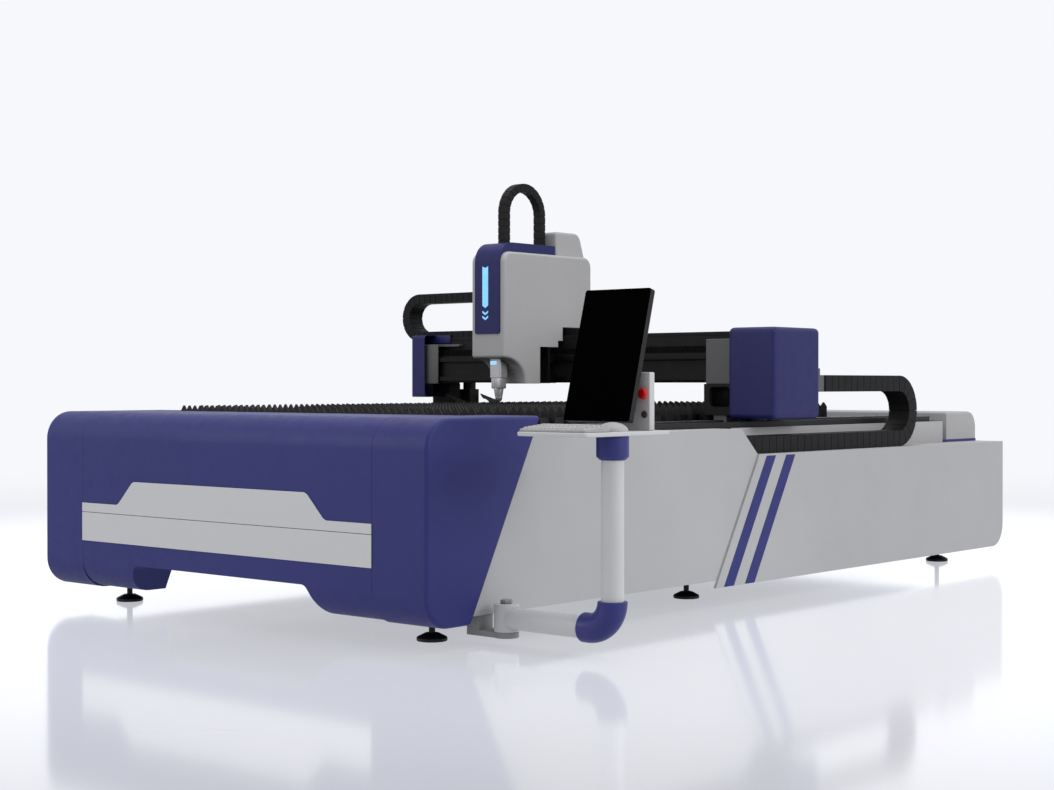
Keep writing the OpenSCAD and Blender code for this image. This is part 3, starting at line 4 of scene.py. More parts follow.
import bmesh
import bpy
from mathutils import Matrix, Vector

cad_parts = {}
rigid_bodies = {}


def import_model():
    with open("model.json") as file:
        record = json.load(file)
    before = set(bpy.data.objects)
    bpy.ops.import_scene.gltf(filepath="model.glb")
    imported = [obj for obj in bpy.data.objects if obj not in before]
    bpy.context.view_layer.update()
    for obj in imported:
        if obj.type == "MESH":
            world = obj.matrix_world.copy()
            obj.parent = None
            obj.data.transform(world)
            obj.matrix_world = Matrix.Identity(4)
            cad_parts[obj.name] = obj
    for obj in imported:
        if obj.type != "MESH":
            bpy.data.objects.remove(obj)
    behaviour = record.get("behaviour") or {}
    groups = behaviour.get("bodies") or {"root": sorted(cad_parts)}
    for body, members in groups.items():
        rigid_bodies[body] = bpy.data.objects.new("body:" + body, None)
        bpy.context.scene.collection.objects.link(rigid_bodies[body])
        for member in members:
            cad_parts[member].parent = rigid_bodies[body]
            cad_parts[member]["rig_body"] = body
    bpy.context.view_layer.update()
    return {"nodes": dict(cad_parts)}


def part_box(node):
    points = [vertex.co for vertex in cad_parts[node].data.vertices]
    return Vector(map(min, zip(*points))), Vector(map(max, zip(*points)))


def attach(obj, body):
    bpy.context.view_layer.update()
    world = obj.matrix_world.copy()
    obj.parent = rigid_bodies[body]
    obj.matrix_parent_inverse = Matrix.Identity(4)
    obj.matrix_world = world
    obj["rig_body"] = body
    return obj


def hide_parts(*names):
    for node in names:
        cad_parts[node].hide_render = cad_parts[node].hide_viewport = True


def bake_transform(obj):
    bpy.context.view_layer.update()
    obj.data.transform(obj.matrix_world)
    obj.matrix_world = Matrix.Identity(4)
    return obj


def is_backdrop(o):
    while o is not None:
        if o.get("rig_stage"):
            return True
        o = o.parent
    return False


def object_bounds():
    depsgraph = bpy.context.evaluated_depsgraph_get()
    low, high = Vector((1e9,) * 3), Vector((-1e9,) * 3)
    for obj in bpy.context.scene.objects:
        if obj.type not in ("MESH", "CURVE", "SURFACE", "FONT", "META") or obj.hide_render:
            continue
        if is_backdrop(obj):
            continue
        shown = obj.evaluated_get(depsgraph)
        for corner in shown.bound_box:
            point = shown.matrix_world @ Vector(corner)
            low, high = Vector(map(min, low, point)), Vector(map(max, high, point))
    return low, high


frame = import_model()
nodes = frame["nodes"]
scene = bpy.context.scene


# Camera
# The machine is seen from the operator's front corner, a little under a metre up.
# The focal length is in pixels of the 1054 by 790 frame, the angles are in degrees.
frame_w = 1054
focal_px = 1769.46
look_down = 0.382
look_round = 40.902
camera = bpy.data.objects.new("camera", bpy.data.cameras.new("camera"))
camera.data.sensor_fit = "HORIZONTAL"
camera.data.sensor_width = 36.0
camera.data.lens = focal_px * camera.data.sensor_width / frame_w
camera.data.clip_end = 200.0
camera.location = (5.2582, -6.7146, 0.9582)
camera.rotation_euler = (math.radians(90 - look_down), 0.0, math.radians(look_round))
scene.collection.objects.link(camera)
scene.camera = camera


# Studio
# A pale polished floor that glows a little round the machine and fades into a pale backdrop,
# lit by the sky of the studio and three large soft boxes: overhead, front left and right.
scene.view_settings.view_transform = "Standard"


def tint(red, green, blue):
    """Colour written as it looks on screen, 0 to 255, as the shader's own values."""
    shares = [c / 255 for c in (red, green, blue)]
    return (*[c / 12.92 if c <= 0.04045 else ((c + 0.055) / 1.055) ** 2.4 for c in shares], 1.0)


backdrop = tint(247, 248, 252)
world = bpy.data.worlds.new("studio")
scene.world = world
world.use_nodes = True
sky = world.node_tree
sky.nodes.clear()
seen = sky.nodes.new("ShaderNodeBackground")
seen.inputs["Color"].default_value = backdrop
ambient = sky.nodes.new("ShaderNodeBackground")
ambient.inputs["Color"].default_value = tint(250, 250, 252)
ambient.inputs["Strength"].default_value = 0.55
rays = sky.nodes.new("ShaderNodeLightPath")
either = sky.nodes.new("ShaderNodeMath")
either.operation = "MAXIMUM"
any_seen = sky.nodes.new("ShaderNodeMath")
any_seen.operation = "MAXIMUM"
choose = sky.nodes.new("ShaderNodeMixShader")
out = sky.nodes.new("ShaderNodeOutputWorld")
sky.links.new(rays.outputs["Is Camera Ray"], either.inputs[0])
sky.links.new(rays.outputs["Is Glossy Ray"], either.inputs[1])
sky.links.new(either.outputs[0], any_seen.inputs[0])
sky.links.new(rays.outputs["Is Transmission Ray"], any_seen.inputs[1])
sky.links.new(any_seen.outputs[0], choose.inputs["Fac"])
sky.links.new(ambient.outputs[0], choose.inputs[1])
sky.links.new(seen.outputs[0], choose.inputs[2])
sky.links.new(choose.outputs[0], out.inputs["Surface"])

floor_half = 16.0
fade_start, fade_end = 5.5, 13.0
glow_start, glow_end = 3.0, 7.0
glow_near, glow_far = 0.53, 0.2
bm = bmesh.new()
bmesh.ops.create_grid(bm, x_segments=1, y_segments=1, size=floor_half)
floor_mesh = bpy.data.meshes.new("studio_floor")
bm.to_mesh(floor_mesh)
bm.free()
studio_floor = bpy.data.objects.new("studio_floor", floor_mesh)
scene.collection.objects.link(studio_floor)
studio_floor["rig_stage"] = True

floor_paint = bpy.data.materials.new("polished_floor")
floor_paint.use_nodes = True
tree = floor_paint.node_tree
polish = tree.nodes["Principled BSDF"]
polish.inputs["Base Color"].default_value = tint(124, 126, 130)
polish.inputs["Emission Color"].default_value = tint(243, 245, 252)
polish.inputs["Specular IOR Level"].default_value = 1.0
polish.inputs["Roughness"].default_value = 0.1
coords = tree.nodes.new("ShaderNodeTexCoord")
reach = tree.nodes.new("ShaderNodeVectorMath")
reach.operation = "LENGTH"
fade = tree.nodes.new("ShaderNodeMapRange")
fade.interpolation_type = "SMOOTHSTEP"
fade.inputs["From Min"].default_value = fade_start
fade.inputs["From Max"].default_value = fade_end
glow = tree.nodes.new("ShaderNodeMapRange")
glow.interpolation_type = "SMOOTHSTEP"
glow.inputs["From Min"].default_value = glow_start
glow.inputs["From Max"].default_value = glow_end
glow.inputs["To Min"].default_value = glow_near
glow.inputs["To Max"].default_value = glow_far
clear = tree.nodes.new("ShaderNodeBsdfTransparent")
edge = tree.nodes.new("ShaderNodeMixShader")
tree.links.new(coords.outputs["Object"], reach.inputs[0])
tree.links.new(reach.outputs["Value"], fade.inputs["Value"])
tree.links.new(reach.outputs["Value"], glow.inputs["Value"])
tree.links.new(glow.outputs["Result"], polish.inputs["Emission Strength"])
tree.links.new(fade.outputs["Result"], edge.inputs["Fac"])
tree.links.new(polish.outputs[0], edge.inputs[1])
tree.links.new(clear.outputs[0], edge.inputs[2])
tree.links.new(edge.outputs[0], tree.nodes["Material Output"].inputs["Surface"])
floor_mesh.materials.append(floor_paint)


def soft_box(name, place, aim, width, height, power):
    """Rectangular studio lamp at a place, turned to the point it lights."""
    lamp = bpy.data.lights.new(name, "AREA")
    lamp.shape = "RECTANGLE"
    lamp.size = width
    lamp.size_y = height
    lamp.energy = power
    holder = bpy.data.objects.new(name, lamp)
    holder.location = place
    holder.rotation_euler = (Vector(aim) - Vector(place)).to_track_quat("-Z", "Y").to_euler()
    scene.collection.objects.link(holder)


soft_box("overhead", (0.5, -0.5, 6.0), (0.0, 0.0, 0.6), width=6.0, height=7.0, power=235)
soft_box("front_left", (-3.5, -8.0, 3.4), (-0.2, -1.5, 0.6), width=5.0, height=3.0, power=165)
soft_box("right", (8.0, 0.5, 3.4), (0.6, 0.0, 0.5), width=5.0, height=3.0, power=285)


# Welded bed
# Two box beams with tubes across them, mill steel under a dark matt coat,
# welded into one frame that carries everything else.
def texture_place(tree, scale=(1.0, 1.0, 1.0)):
    """Object coordinates of the piece, stretched along its axes."""
    coords = tree.nodes.new("ShaderNodeTexCoord")
    mapping = tree.nodes.new("ShaderNodeMapping")
    mapping.inputs["Scale"].default_value = scale
    tree.links.new(coords.outputs["Object"], mapping.inputs["Vector"])
    return mapping.outputs["Vector"]


def noise(tree, place, scale, detail=2.0):
    """Fractal noise between 0 and 1 with so many cells to the metre."""
    node = tree.nodes.new("ShaderNodeTexNoise")
    node.inputs["Scale"].default_value = scale
    node.inputs["Detail"].default_value = detail
    tree.links.new(place, node.inputs["Vector"])
    return node.outputs["Fac"]


def spread(tree, value, low, high):
    """The middle of a noise stretched between two values."""
    node = tree.nodes.new("ShaderNodeMapRange")
    node.inputs["From Min"].default_value = 0.3
    node.inputs["From Max"].default_value = 0.7
    node.inputs["To Min"].default_value = low
    node.inputs["To Max"].default_value = high
    tree.links.new(value, node.inputs["Value"])
    return node.outputs["Result"]


def between(tree, share, first, second):
    """Two colours mixed by a share from the texture."""
    node = tree.nodes.new("ShaderNodeMix")
    node.data_type = "RGBA"
    share_in, first_in, second_in = (node.inputs[k] for k in (0, 6, 7))
    tree.links.new(share, share_in)
    first_in.default_value = first
    second_in.default_value = second
    return node.outputs[2]


def shaded(colour, share):
    """The colour made lighter or darker by a share."""
    return (*[c * share for c in colour[:3]], 1.0)


def raise_surface(tree, shader, height, strength, distance):
    """Bump on the shader from a height texture, its depth in metres."""
    node = tree.nodes.new("ShaderNodeBump")
    node.inputs["Strength"].default_value = strength
    node.inputs["Distance"].default_value = distance
    tree.links.new(height, node.inputs["Height"])
    tree.links.new(node.outputs["Normal"], shader.inputs["Normal"])


def new_finish(name):
    """Material with its node tree and shader."""
    material = bpy.data.materials.new(name)
    material.use_nodes = True
    return material, material.node_tree, material.node_tree.nodes["Principled BSDF"]


def powder_coat(name, colour, rough, peel=0.1, mottle=0.05, sheen=0.2):
    """Baked powder paint: a fine orange peel, and a tone that drifts a little over the sheet."""
    material, tree, shader = new_finish(name)
    place = texture_place(tree)
    drift = spread(tree, noise(tree, place, scale=1.6, detail=3.0), 0.0, 1.0)
    paint = between(tree, drift, shaded(colour, 1 - mottle), shaded(colour, 1 + mottle))
    tree.links.new(paint, shader.inputs["Base Color"])
    vary = 0.05
    gloss = spread(tree, noise(tree, place, scale=22.0, detail=4.0), rough - vary, rough + vary)
    tree.links.new(gloss, shader.inputs["Roughness"])
    shader.inputs["Specular IOR Level"].default_value = sheen
    raise_surface(tree, shader, noise(tree, place, scale=420.0), strength=peel, distance=0.0008)
    return material


def dress(material, *names):
    """Gives CAD nodes that keep their own mesh their finish."""
    for name in names:
        nodes[name].data.materials.clear()
        nodes[name].data.materials.append(material)


frame_paint = powder_coat("frame_paint", tint(20, 20, 21), rough=0.6, peel=0.2, mottle=0.12, sheen=0.1)
dress(frame_paint, "bed_beams", "bed_crossmembers")


# Levelling feet
# Black iron discs on threaded studs under the crossmembers, each locked by a nut.
# They are turned and painted, and their edges are eased.
foot_iron = powder_coat("foot_iron", tint(20, 20, 21), rough=0.45, peel=0.25, mottle=0.15)
merge_reach = 1e-5
flat_angle = math.radians(0.3)
corner_angle = math.radians(28)
sharp_angle = math.radians(32)


def add_piece(name, bm, material):
    """New piece from a finished bmesh, smooth except over its sharp edges."""
    mesh = bpy.data.meshes.new(name)
    bm.to_mesh(mesh)
    bm.free()
    mesh.materials.append(material)
    mesh.shade_smooth()
    mesh.set_sharp_from_angle(angle=sharp_angle)
    piece = bpy.data.objects.new(name, mesh)
    scene.collection.objects.link(piece)
    return piece


def rounded(bm, edges, width, segments, material=-1):
    """Rounds edges of a form, each side of the round so wide."""
    bmesh.ops.bevel(bm, geom=edges, offset=width, offset_type="OFFSET", segments=segments, profile=0.5,
                    affect="EDGES", clamp_overlap=True, material=material)


def eased_form(node, width, segments=2):
    """Form of a CAD node with its triangles merged and its outer edges rounded."""
    bm = bmesh.new()
    bm.from_mesh(nodes[node].data)
    bmesh.ops.remove_doubles(bm, verts=bm.verts, dist=merge_reach)
    bmesh.ops.dissolve_limit(bm, angle_limit=flat_angle, verts=bm.verts, edges=bm.edges)
    sharp = [e for e in bm.edges if e.is_manifold and e.is_convex and e.calc_face_angle() > corner_angle]
    rounded(bm, sharp, width, segments)
    return bm


def eased(node, material, width=0.0015, segments=2):
    """A node's own form with eased edges, riding on the node's body in its place."""
    piece = add_piece(node + "_skin", eased_form(node, width, segments), material)
    piece.modifiers.new("flat_faces", "WEIGHTED_NORMAL").keep_sharp = True
    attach(piece, nodes[node]["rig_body"])
    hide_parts(node)


eased("levelling_feet", foot_iron, width=0.0012)


# Cutting table
# Thin laser-cut slats with pointed teeth stand in slotted combs over a folded slag tray, and
# two plate fins beside them stop the sheet. Sparks and dross have burnt them nearly black.
def burnt_steel(name, colour, scorch, rough):
    """Hot-rolled steel with scorched patches and fine scale."""
    material, tree, shader = new_finish(name)
    place = texture_place(tree)
    patches = spread(tree, noise(tree, place, scale=9.0, detail=5.0), 0.0, 1.0)
    tree.links.new(between(tree, patches, colour, scorch), shader.inputs["Base Color"])
    vary = 0.1
    matt = spread(tree, noise(tree, place, scale=60.0, detail=3.0), rough - vary, rough + vary)
    tree.links.new(matt, shader.inputs["Roughness"])
    shader.inputs["Metallic"].default_value = 0.15
    scale_skin = noise(tree, place, scale=260.0, detail=4.0)
    raise_surface(tree, shader, scale_skin, strength=0.25, distance=0.001)
    return material


slat_steel = burnt_steel("slat_steel", tint(20, 19, 20), tint(11, 10, 10), rough=0.75)
table_steel = burnt_steel("table_steel", tint(24, 24, 25), tint(16, 15, 14), rough=0.7)
dress(slat_steel, "slats")
dress(table_steel, "slag_tray", "table_combs")


def arc(centre, reach, first, last, count):
    """Points of an elliptic arc in a side view, its angles in degrees from the depth axis."""
    angles = [math.radians(first + (last - first) * k / count) for k in range(count + 1)]
    return [(centre[0] + reach[0] * math.cos(a), centre[1] + reach[1] * math.sin(a)) for a in angles]


def extruded(bm, outline, stations):
    """Adds the prism of a side outline through places across; returns its faces, a list for each side."""
    rows = [[bm.verts.new((x, y, z)) for y, z in outline] for x in stations]
    count = len(outline)
    sides = [[bm.faces.new((first[k], first[(k + 1) % count], second[(k + 1) % count], second[k]))
              for first, second in zip(rows, rows[1:])] for k in range(count)]
    bm.faces.new(rows[0][::-1])
    bm.faces.new(rows[-1])
    return sides


low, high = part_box("sheet_stops")
bm = bmesh.new()
fin_l = 0.15
hollow_r = 0.076
hollow_back, hollow_down = 0.022, 0.102
stem_back = 0.098
heel_back, heel_down = 0.146, 0.04
for tip in (low.y, high.y - fin_l):
    hollow = arc((tip + hollow_back, high.z - hollow_down), (hollow_r, hollow_r), 88, 0, count=8)
    extruded(bm, [(tip, high.z), *hollow, (tip + stem_back, low.z), (tip + fin_l, low.z),
                  (tip + heel_back, high.z - heel_down)], (low.x, high.x))
bmesh.ops.recalc_face_normals(bm, faces=bm.faces)
fins = add_piece("sheet_stop_fins", bm, table_steel)
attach(fins, nodes["sheet_stops"]["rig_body"])
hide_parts("sheet_stops")


# Front cover
# One long folded sheet in the middle between two deep end caps, all in blue powder paint,
# with a bare silver band in two strips screwed across the middle from behind.
blue_paint = powder_coat("blue_paint", tint(42, 45, 103), rough=0.5)


def brushed_sheet(name, colour, rough):
    """Anodised sheet brushed along its length."""
    material, tree, shader = new_finish(name)
    lines = noise(tree, texture_place(tree, (6.0, 900.0, 900.0)), scale=1.0, detail=4.0)
    tone = between(tree, lines, shaded(colour, 0.96), shaded(colour, 1.04))
    tree.links.new(tone, shader.inputs["Base Color"])
    vary = 0.06
    tree.links.new(spread(tree, lines, rough - vary, rough + vary), shader.inputs["Roughness"])
    shader.inputs["Metallic"].default_value = 0.25
    raise_surface(tree, shader, lines, strength=0.08, distance=0.0005)
    return material


silver_band = brushed_sheet("silver_band", tint(186, 186, 187), rough=0.45)


def shelled(name, bm, thickness, material):
    """Sheet piece: an open skin thickened inwards."""
    piece = add_piece(name, bm, material)
    sheet = piece.modifiers.new("sheet", "SOLIDIFY")
    sheet.thickness = thickness
    sheet.offset = -1.0
    sheet.use_even_offset = True
    piece.modifiers.new("flat_faces", "WEIGHTED_NORMAL").keep_sharp = True
    return piece


low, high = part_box("front_panel")
cap_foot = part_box("front_caps")[0].z
middle_x = (low.x + high.x) / 2
seam = 0.0012
panel_t = 0.004
half_w = (high.x - low.x) / 2 - seam
front_y = low.y
nose_r = 0.118
lip_up = 0.006
lip_z = cap_foot + lip_up
foot_depth = 0.205
foot_y = front_y + foot_depth
arch_h = 0.115
arch_top = lip_z + arch_h
arch_inset = 0.3
arch_foot_half = half_w - arch_inset
arch_run = 0.058
arch_r = 0.036
arch_lean = math.atan2(arch_run, arch_top - lip_z)
arch_turn = arch_r * math.tan((math.pi / 2 - arch_lean) / 2)
turn_x = arch_foot_half - arch_run - arch_turn
turn_z = arch_top - arch_turn * math.cos(arch_lean)


def arch_half(z):
    """Half width of the opening under the panel at a height."""
    if z > turn_z:
        return turn_x + math.sqrt(max(0.0, arch_r ** 2 - (z - arch_top + arch_r) ** 2))
    return arch_foot_half - arch_run * (z - lip_z) / (arch_top - lip_z)


def nose(z):
    """Depth of the rounded lower nose at a height."""
    rise = min(1.0, (lip_z + nose_r - z) / nose_r)
    return front_y + nose_r * (1 - math.sqrt(max(0.0, 1 - rise ** 2)))


upper = [(high.y, high.z), *arc((front_y + nose_r, high.z - nose_r), (nose_r, nose_r), 90, 180, count=16),
         (front_y, lip_z + nose_r)]
turn_angles = (78, 66, 54, 42)
nose_angles = (68, 59, 50, 41, 32, 24, 16, 8)
turn_heights = [arch_top - arch_r + arch_r * math.sin(math.radians(a)) for a in turn_angles]
nose_heights = [lip_z + nose_r * (1 - math.cos(math.radians(a))) for a in nose_angles]
heights = [arch_top, *[z for z in turn_heights if z > turn_z], turn_z, *nose_heights, lip_z]
bm = bmesh.new()
rows = [[bm.verts.new((middle_x + side * half_w, y, z)) for side in (-1, 1)] for y, z in upper]
for first, second in zip(rows, rows[1:]):
    bm.faces.new((first[0], first[1], second[1], second[0]))
tops = {}
for side in (-1, 1):
    outer = [bm.verts.new((middle_x + side * half_w, nose(z), z)) for z in heights]
    inner = [bm.verts.new((middle_x + side * arch_half(z), nose(z), z)) for z in heights]
    back = [bm.verts.new((middle_x + side * arch_half(z), foot_y, z)) for z in heights]
    foot = bm.verts.new((middle_x + side * half_w, foot_y, lip_z))
    for k in range(len(heights) - 1):
        bm.faces.new((outer[k], outer[k + 1], inner[k + 1], inner[k]))
        bm.faces.new((inner[k], inner[k + 1], back[k + 1], back[k]))
    bm.faces.new((outer[-1], foot, back[-1], inner[-1]))
    tops[side] = (outer[0], inner[0], back[0])
left, right = tops[-1], tops[1]
bm.faces.new((*rows[-1], right[0], right[1], left[1], left[0]))
bm.faces.new((left[1], right[1], right[2], left[2]))
bmesh.ops.recalc_face_normals(bm, faces=bm.faces)
bm.faces.ensure_lookup_table()
if bm.faces[0].normal.z < 0:
    bmesh.ops.reverse_faces(bm, faces=bm.faces)
panel = shelled("front_panel_skin", bm, panel_t, blue_paint)
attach(panel, "bed")
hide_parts("front_panel")
eased("front_caps", blue_paint, width=0.0016)
eased("front_band", silver_band, width=0.001)


# Side and rear covers
# Folded sheet panels in light grey with two slanted blue stripes, a thin grey wall behind the
# drag chain, a blue deck at the rear and a rounded grey hood over the cable entry.
grey_paint = powder_coat("grey_paint", tint(163, 163, 164), rough=0.5)
eased("side_panels_front", grey_paint)
eased("side_panels_rear", grey_paint)
eased("side_stripes", blue_paint, width=0.0003)
eased("rear_panel", blue_paint)
eased("rear_hood", grey_paint)


def slab(bm, low, high, edge=0.001, segments=2):
    """Adds a block between two corners with rounded edges."""
    made = bmesh.ops.create_cube(bm, size=1.0)["verts"]
    low, high = Vector(low), Vector(high)
    for vert in made:
        vert.co = [low[k] + (vert.co[k] + 0.5) * (high[k] - low[k]) for k in range(3)]
    if edge:
        edges = {e for vert in made for e in vert.link_edges}
        rounded(bm, list(edges), edge, segments)


def block_piece(name, body, low, high, material, edge=0.001, segments=2):
    """One block with rounded edges that rides on a body."""
    bm = bmesh.new()
    slab(bm, low, high, edge, segments)
    piece = add_piece(name, bm, material)
    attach(piece, body)
    return piece


low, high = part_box("bed_beams")
panel_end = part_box("side_panels_front")[1].y
wall_in, wall_out = 0.0004, 0.0034
wall_front, wall_rear = 0.002, 0.004
wall_foot, wall_down = 0.6, 0.001
block_piece("chain_side_wall", "bed", (high.x + wall_in, panel_end + wall_front, wall_foot),
            (high.x + wall_out, high.y - wall_rear, high.z - wall_down),
            grey_paint, edge=0.0008)


# Guides along the bed
# Ground steel rails and milled racks, screwed down on the beams.
# Plugs close the screw holes in the rails.
def ground_steel(name, colour, rough, along):
    """Ground or milled steel with fine marks along one direction."""
    material, tree, shader = new_finish(name)
    drawn_out, fine = 12.0, 700.0
    place = texture_place(tree, [drawn_out if k == along else fine for k in range(3)])
    marks = noise(tree, place, scale=1.0, detail=3.0)
    tone = between(tree, marks, shaded(colour, 0.88), shaded(colour, 1.08))
    tree.links.new(tone, shader.inputs["Base Color"])
    vary = 0.07
    tree.links.new(spread(tree, marks, rough - vary, rough + vary), shader.inputs["Roughness"])
    shader.inputs["Metallic"].default_value = 0.9
    raise_surface(tree, shader, marks, strength=0.1, distance=0.0003)
    return material


rail_steel = ground_steel("rail_steel", tint(84, 85, 88), rough=0.4, along=1)
rack_steel = ground_steel("rack_steel", tint(52, 52, 54), rough=0.5, along=2)
eased("y_rails", rail_steel, width=0.0015)


def turned(bm, place, rings, count=24):
    """Adds an upright round form from rings of radius and height."""
    angles = [2 * math.pi * k / count for k in range(count)]
    loops = []
    for radius, height in rings:
        spots = [Vector((radius * math.cos(a), radius * math.sin(a), height)) for a in angles]
        loops.append([bm.verts.new(Vector(place) + spot) for spot in spots])
    for first, second in zip(loops, loops[1:]):
        for k in range(count):
            after = (k + 1) % count
            bm.faces.new((first[k], first[after], second[after], second[k]))
    bm.faces.new(loops[0][::-1])
    bm.faces.new(loops[-1])


def steps(first, last, spacing):
    """Even places from one end to the other, as near to the spacing as they come."""
    count = round((last - first) / spacing)
    return [first + (last - first) * k / count for k in range(count + 1)]


plug_rings = [(0.0072, 0.0), (0.0072, 0.0006), (0.0064, 0.001)]
rail_half = 0.017
plug_spacing = 0.12
plug_end = 0.04
low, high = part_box("y_rails")
bm = bmesh.new()
for x in (low.x + rail_half, high.x - rail_half):
    for y in steps(low.y + plug_end, high.y - plug_end, plug_spacing):
        turned(bm, (x, y, high.z), plug_rings)
plugs = add_piece("y_rail_plugs", bm, rack_steel)
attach(plugs, "bed")
dress(rack_steel, "y_racks")


# Gantry
# A stepped welded beam between two end plates on cast saddles, with guide blocks under them,
# a motor and pinion at each end and blue sheet covers over both drives. Strips edge the trough
# of the drag chain on the beam, and small plates close the ends.
plate_paint = powder_coat("plate_paint", tint(88, 88, 89), rough=0.5)
motor_black = powder_coat("motor_black", tint(18, 18, 19), rough=0.45, sheen=0.1)
beam_paint = powder_coat("beam_paint", tint(26, 26, 27), rough=0.55, sheen=0.1)
# A second, darker copy of the blue paint. It paints the shade that falls on the gantry's drive covers and
# on the head's trim.
shade_darkened_blue = powder_coat("shade_darkened_blue", tint(31, 33, 84), rough=0.5)
x_rail_steel = ground_steel("x_rail_steel", tint(24, 24, 25), rough=0.5, along=0)
eased("gantry_saddles", beam_paint, width=0.0025)
eased("y_guide_blocks", plate_paint, width=0.0015)
eased("gantry_beam", beam_paint, width=0.003)
eased("beam_end_plates", plate_paint, width=0.003, segments=3)
eased("gantry_cover_left", shade_darkened_blue)
eased("y_motors", motor_black, width=0.002)
dress(rack_steel, "y_pinion_left", "y_pinion_right")
eased("x_rails", x_rail_steel, width=0.001)
dress(x_rail_steel, "x_rack")
low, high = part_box("gantry_cover_right")
box_in, box_out, box_drop = 0.0098, 0.01, 0.009
box_r = 0.024
cover_t = 0.003
square_on = 0.999
box_low = Vector((low.x + box_in, low.y - box_out, low.z - box_drop))
bm = bmesh.new()
slab(bm, box_low, high, box_r, segments=5)
inner = [f for f in bm.faces if f.normal.x < -square_on or f.normal.z < -square_on]
bmesh.ops.delete(bm, geom=inner, context="FACES")
box_skin = shelled("gantry_cover_right_skin", bm, cover_t, shade_darkened_blue)
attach(box_skin, "gantry")
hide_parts("gantry_cover_right")

low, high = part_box("gantry_beam")
cover_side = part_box("gantry_cover_left")[1].x
step_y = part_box("x_rack")[1].y
strip_t, strip_up = 0.004, 0.016
bm = bmesh.new()
for y in (step_y, high.y - strip_t):
    slab(bm, (cover_side + strip_t, y, high.z - strip_t), (box_low.x, y + strip_t, high.z + strip_up))
trough = add_piece("chain_trough", bm, beam_paint)
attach(trough, "gantry")

low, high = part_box("gantry_saddles")
gap = 0.001
web_inner, web_outer = 0.215, 0.203
web_front, web_rear, web_up = 0.022, 0.132, 0.026
block_piece("saddle_web", "gantry", (high.x - web_inner, low.y + web_front, low.z + web_up),
            (high.x - web_outer, high.y - web_rear, high.z - gap), beam_paint)
low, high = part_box("beam_end_plates")
plate_w, plate_up = 0.132, 0.002
plate_front, plate_rear = 0.0065, 0.0003
block_piece("left_end_plate", "gantry", (cover_side + gap, low.y - plate_front, low.z + plate_up),
            (low.x + plate_w, low.y - plate_rear, high.z), plate_paint, edge=0.002)
low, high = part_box("x_chain_lower_run")
anchor_l, anchor_in, anchor_down = 0.14, 0.004, 0.002
block_piece("x_chain_anchor", "gantry", (high.x + gap, low.y + anchor_in, low.z + gap),
            (high.x + anchor_l, high.y - anchor_in, high.z - anchor_down),
            motor_black, edge=0.002)
low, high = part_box("gantry_cover_left")
lip_gap, lip_l, lip_h, lip_front = 0.0004, 0.112, 0.043, 0.007
block_piece("left_cover_lip", "gantry", (high.x + lip_gap, step_y - lip_front, high.z - lip_h),
            (high.x + lip_l, step_y - gap, high.z), shade_darkened_blue, edge=0.002)


# Drag chains
# Closed links of black nylon that carry the cables. The straight runs are laid in place as they are, and
# the bends ride on their bodies and keep their shape.
def moulded(name, colour, rough, sheen=0.2):
    """Moulded plastic with a fine eroded grain."""
    material, tree, shader = new_finish(name)
    place = texture_place(tree)
    cloud = spread(tree, noise(tree, place, scale=14.0, detail=3.0), 0.0, 1.0)
    tone = between(tree, cloud, shaded(colour, 0.9), shaded(colour, 1.1))
    tree.links.new(tone, shader.inputs["Base Color"])
    vary = 0.06
    gloss = spread(tree, noise(tree, place, scale=80.0), rough - vary, rough + vary)
    tree.links.new(gloss, shader.inputs["Roughness"])
    shader.inputs["Specular IOR Level"].default_value = sheen
    grain = noise(tree, place, scale=300.0, detail=3.0)
    raise_surface(tree, shader, grain, strength=0.15, distance=0.0005)
    return material


chain_nylon = moulded("chain_nylon", tint(20, 20, 21), rough=0.55, sheen=0.12)
link_edge = 0.0012


def chain_run(node):
    """Straight run of links with eased edges, laid in its place."""
    links = eased_form(node, link_edge, segments=1)
    piece = add_piece(node + "_links", links, chain_nylon)
    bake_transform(piece)
    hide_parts(node)


for node, fixed, moving, axis in (
    ("y_chain_lower_run", "bed", "y_bend_lower", Vector((0, 1, 0))),
    ("y_chain_upper_run", "gantry", "y_bend_upper", Vector((0, 1, 0))),
    ("x_chain_lower_run", "gantry", "x_bend_lower", Vector((-1, 0, 0))),
    ("x_chain_upper_run", "carriage", "x_bend_upper", Vector((-1, 0, 0))),
):
    low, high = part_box(node)
    middle, half = (low + high) / 2, (high - low) / 2
    reach = axis * abs(half.dot(axis))
    chain_run(node)
for node in ("y_chain_bend_lower", "y_chain_bend_upper", "x_chain_bend_lower", "x_chain_bend_upper"):
    eased(node, chain_nylon, link_edge, segments=1)
low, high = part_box("z_chain")
middle = (low + high) / 2
chain_run("z_chain")
eased("y_chain_bracket", plate_paint, width=0.003)


# Carriage and cutting head
# A light grey sheet cover with a blue trim and a motor cover hides the carriage plate. Its arched
# underside has a slot for the laser's cutting head, aluminium with a plated nozzle, which rides on
# a slide inside. All three covers are folded from sheet and open at the back or below.
head_metal = ground_steel("head_metal", tint(168, 168, 170), rough=0.5, along=2)
nozzle_steel = ground_steel("nozzle_steel", tint(172, 170, 168), rough=0.4, along=2)
low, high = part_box("head_cover")
torch_low, torch_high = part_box("cutting_head")
chain_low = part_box("z_chain")[0]
front, back, top, foot = low.y, high.y, high.z, low.z
leg_start, leg_end = 0.157, 0.263
leg_front, leg_back = front + leg_start, front + leg_end
neck_start, neck_end = 0.401, 0.437
neck_in, neck_y = front + neck_start, front + neck_end
neck_z, neck_top = 1.138, 1.17
span_gap = 0.004
span_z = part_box("x_chain_lower_run")[1].z + span_gap
top_r = 0.05
slot_gap = 0.006
chain_gap = 0.008
chain_t = 0.041
slot_front = torch_low.y - slot_gap
slot_back = torch_high.y + slot_gap
chain_front = chain_low.y - chain_gap
chain_back = chain_low.y + chain_t + chain_gap
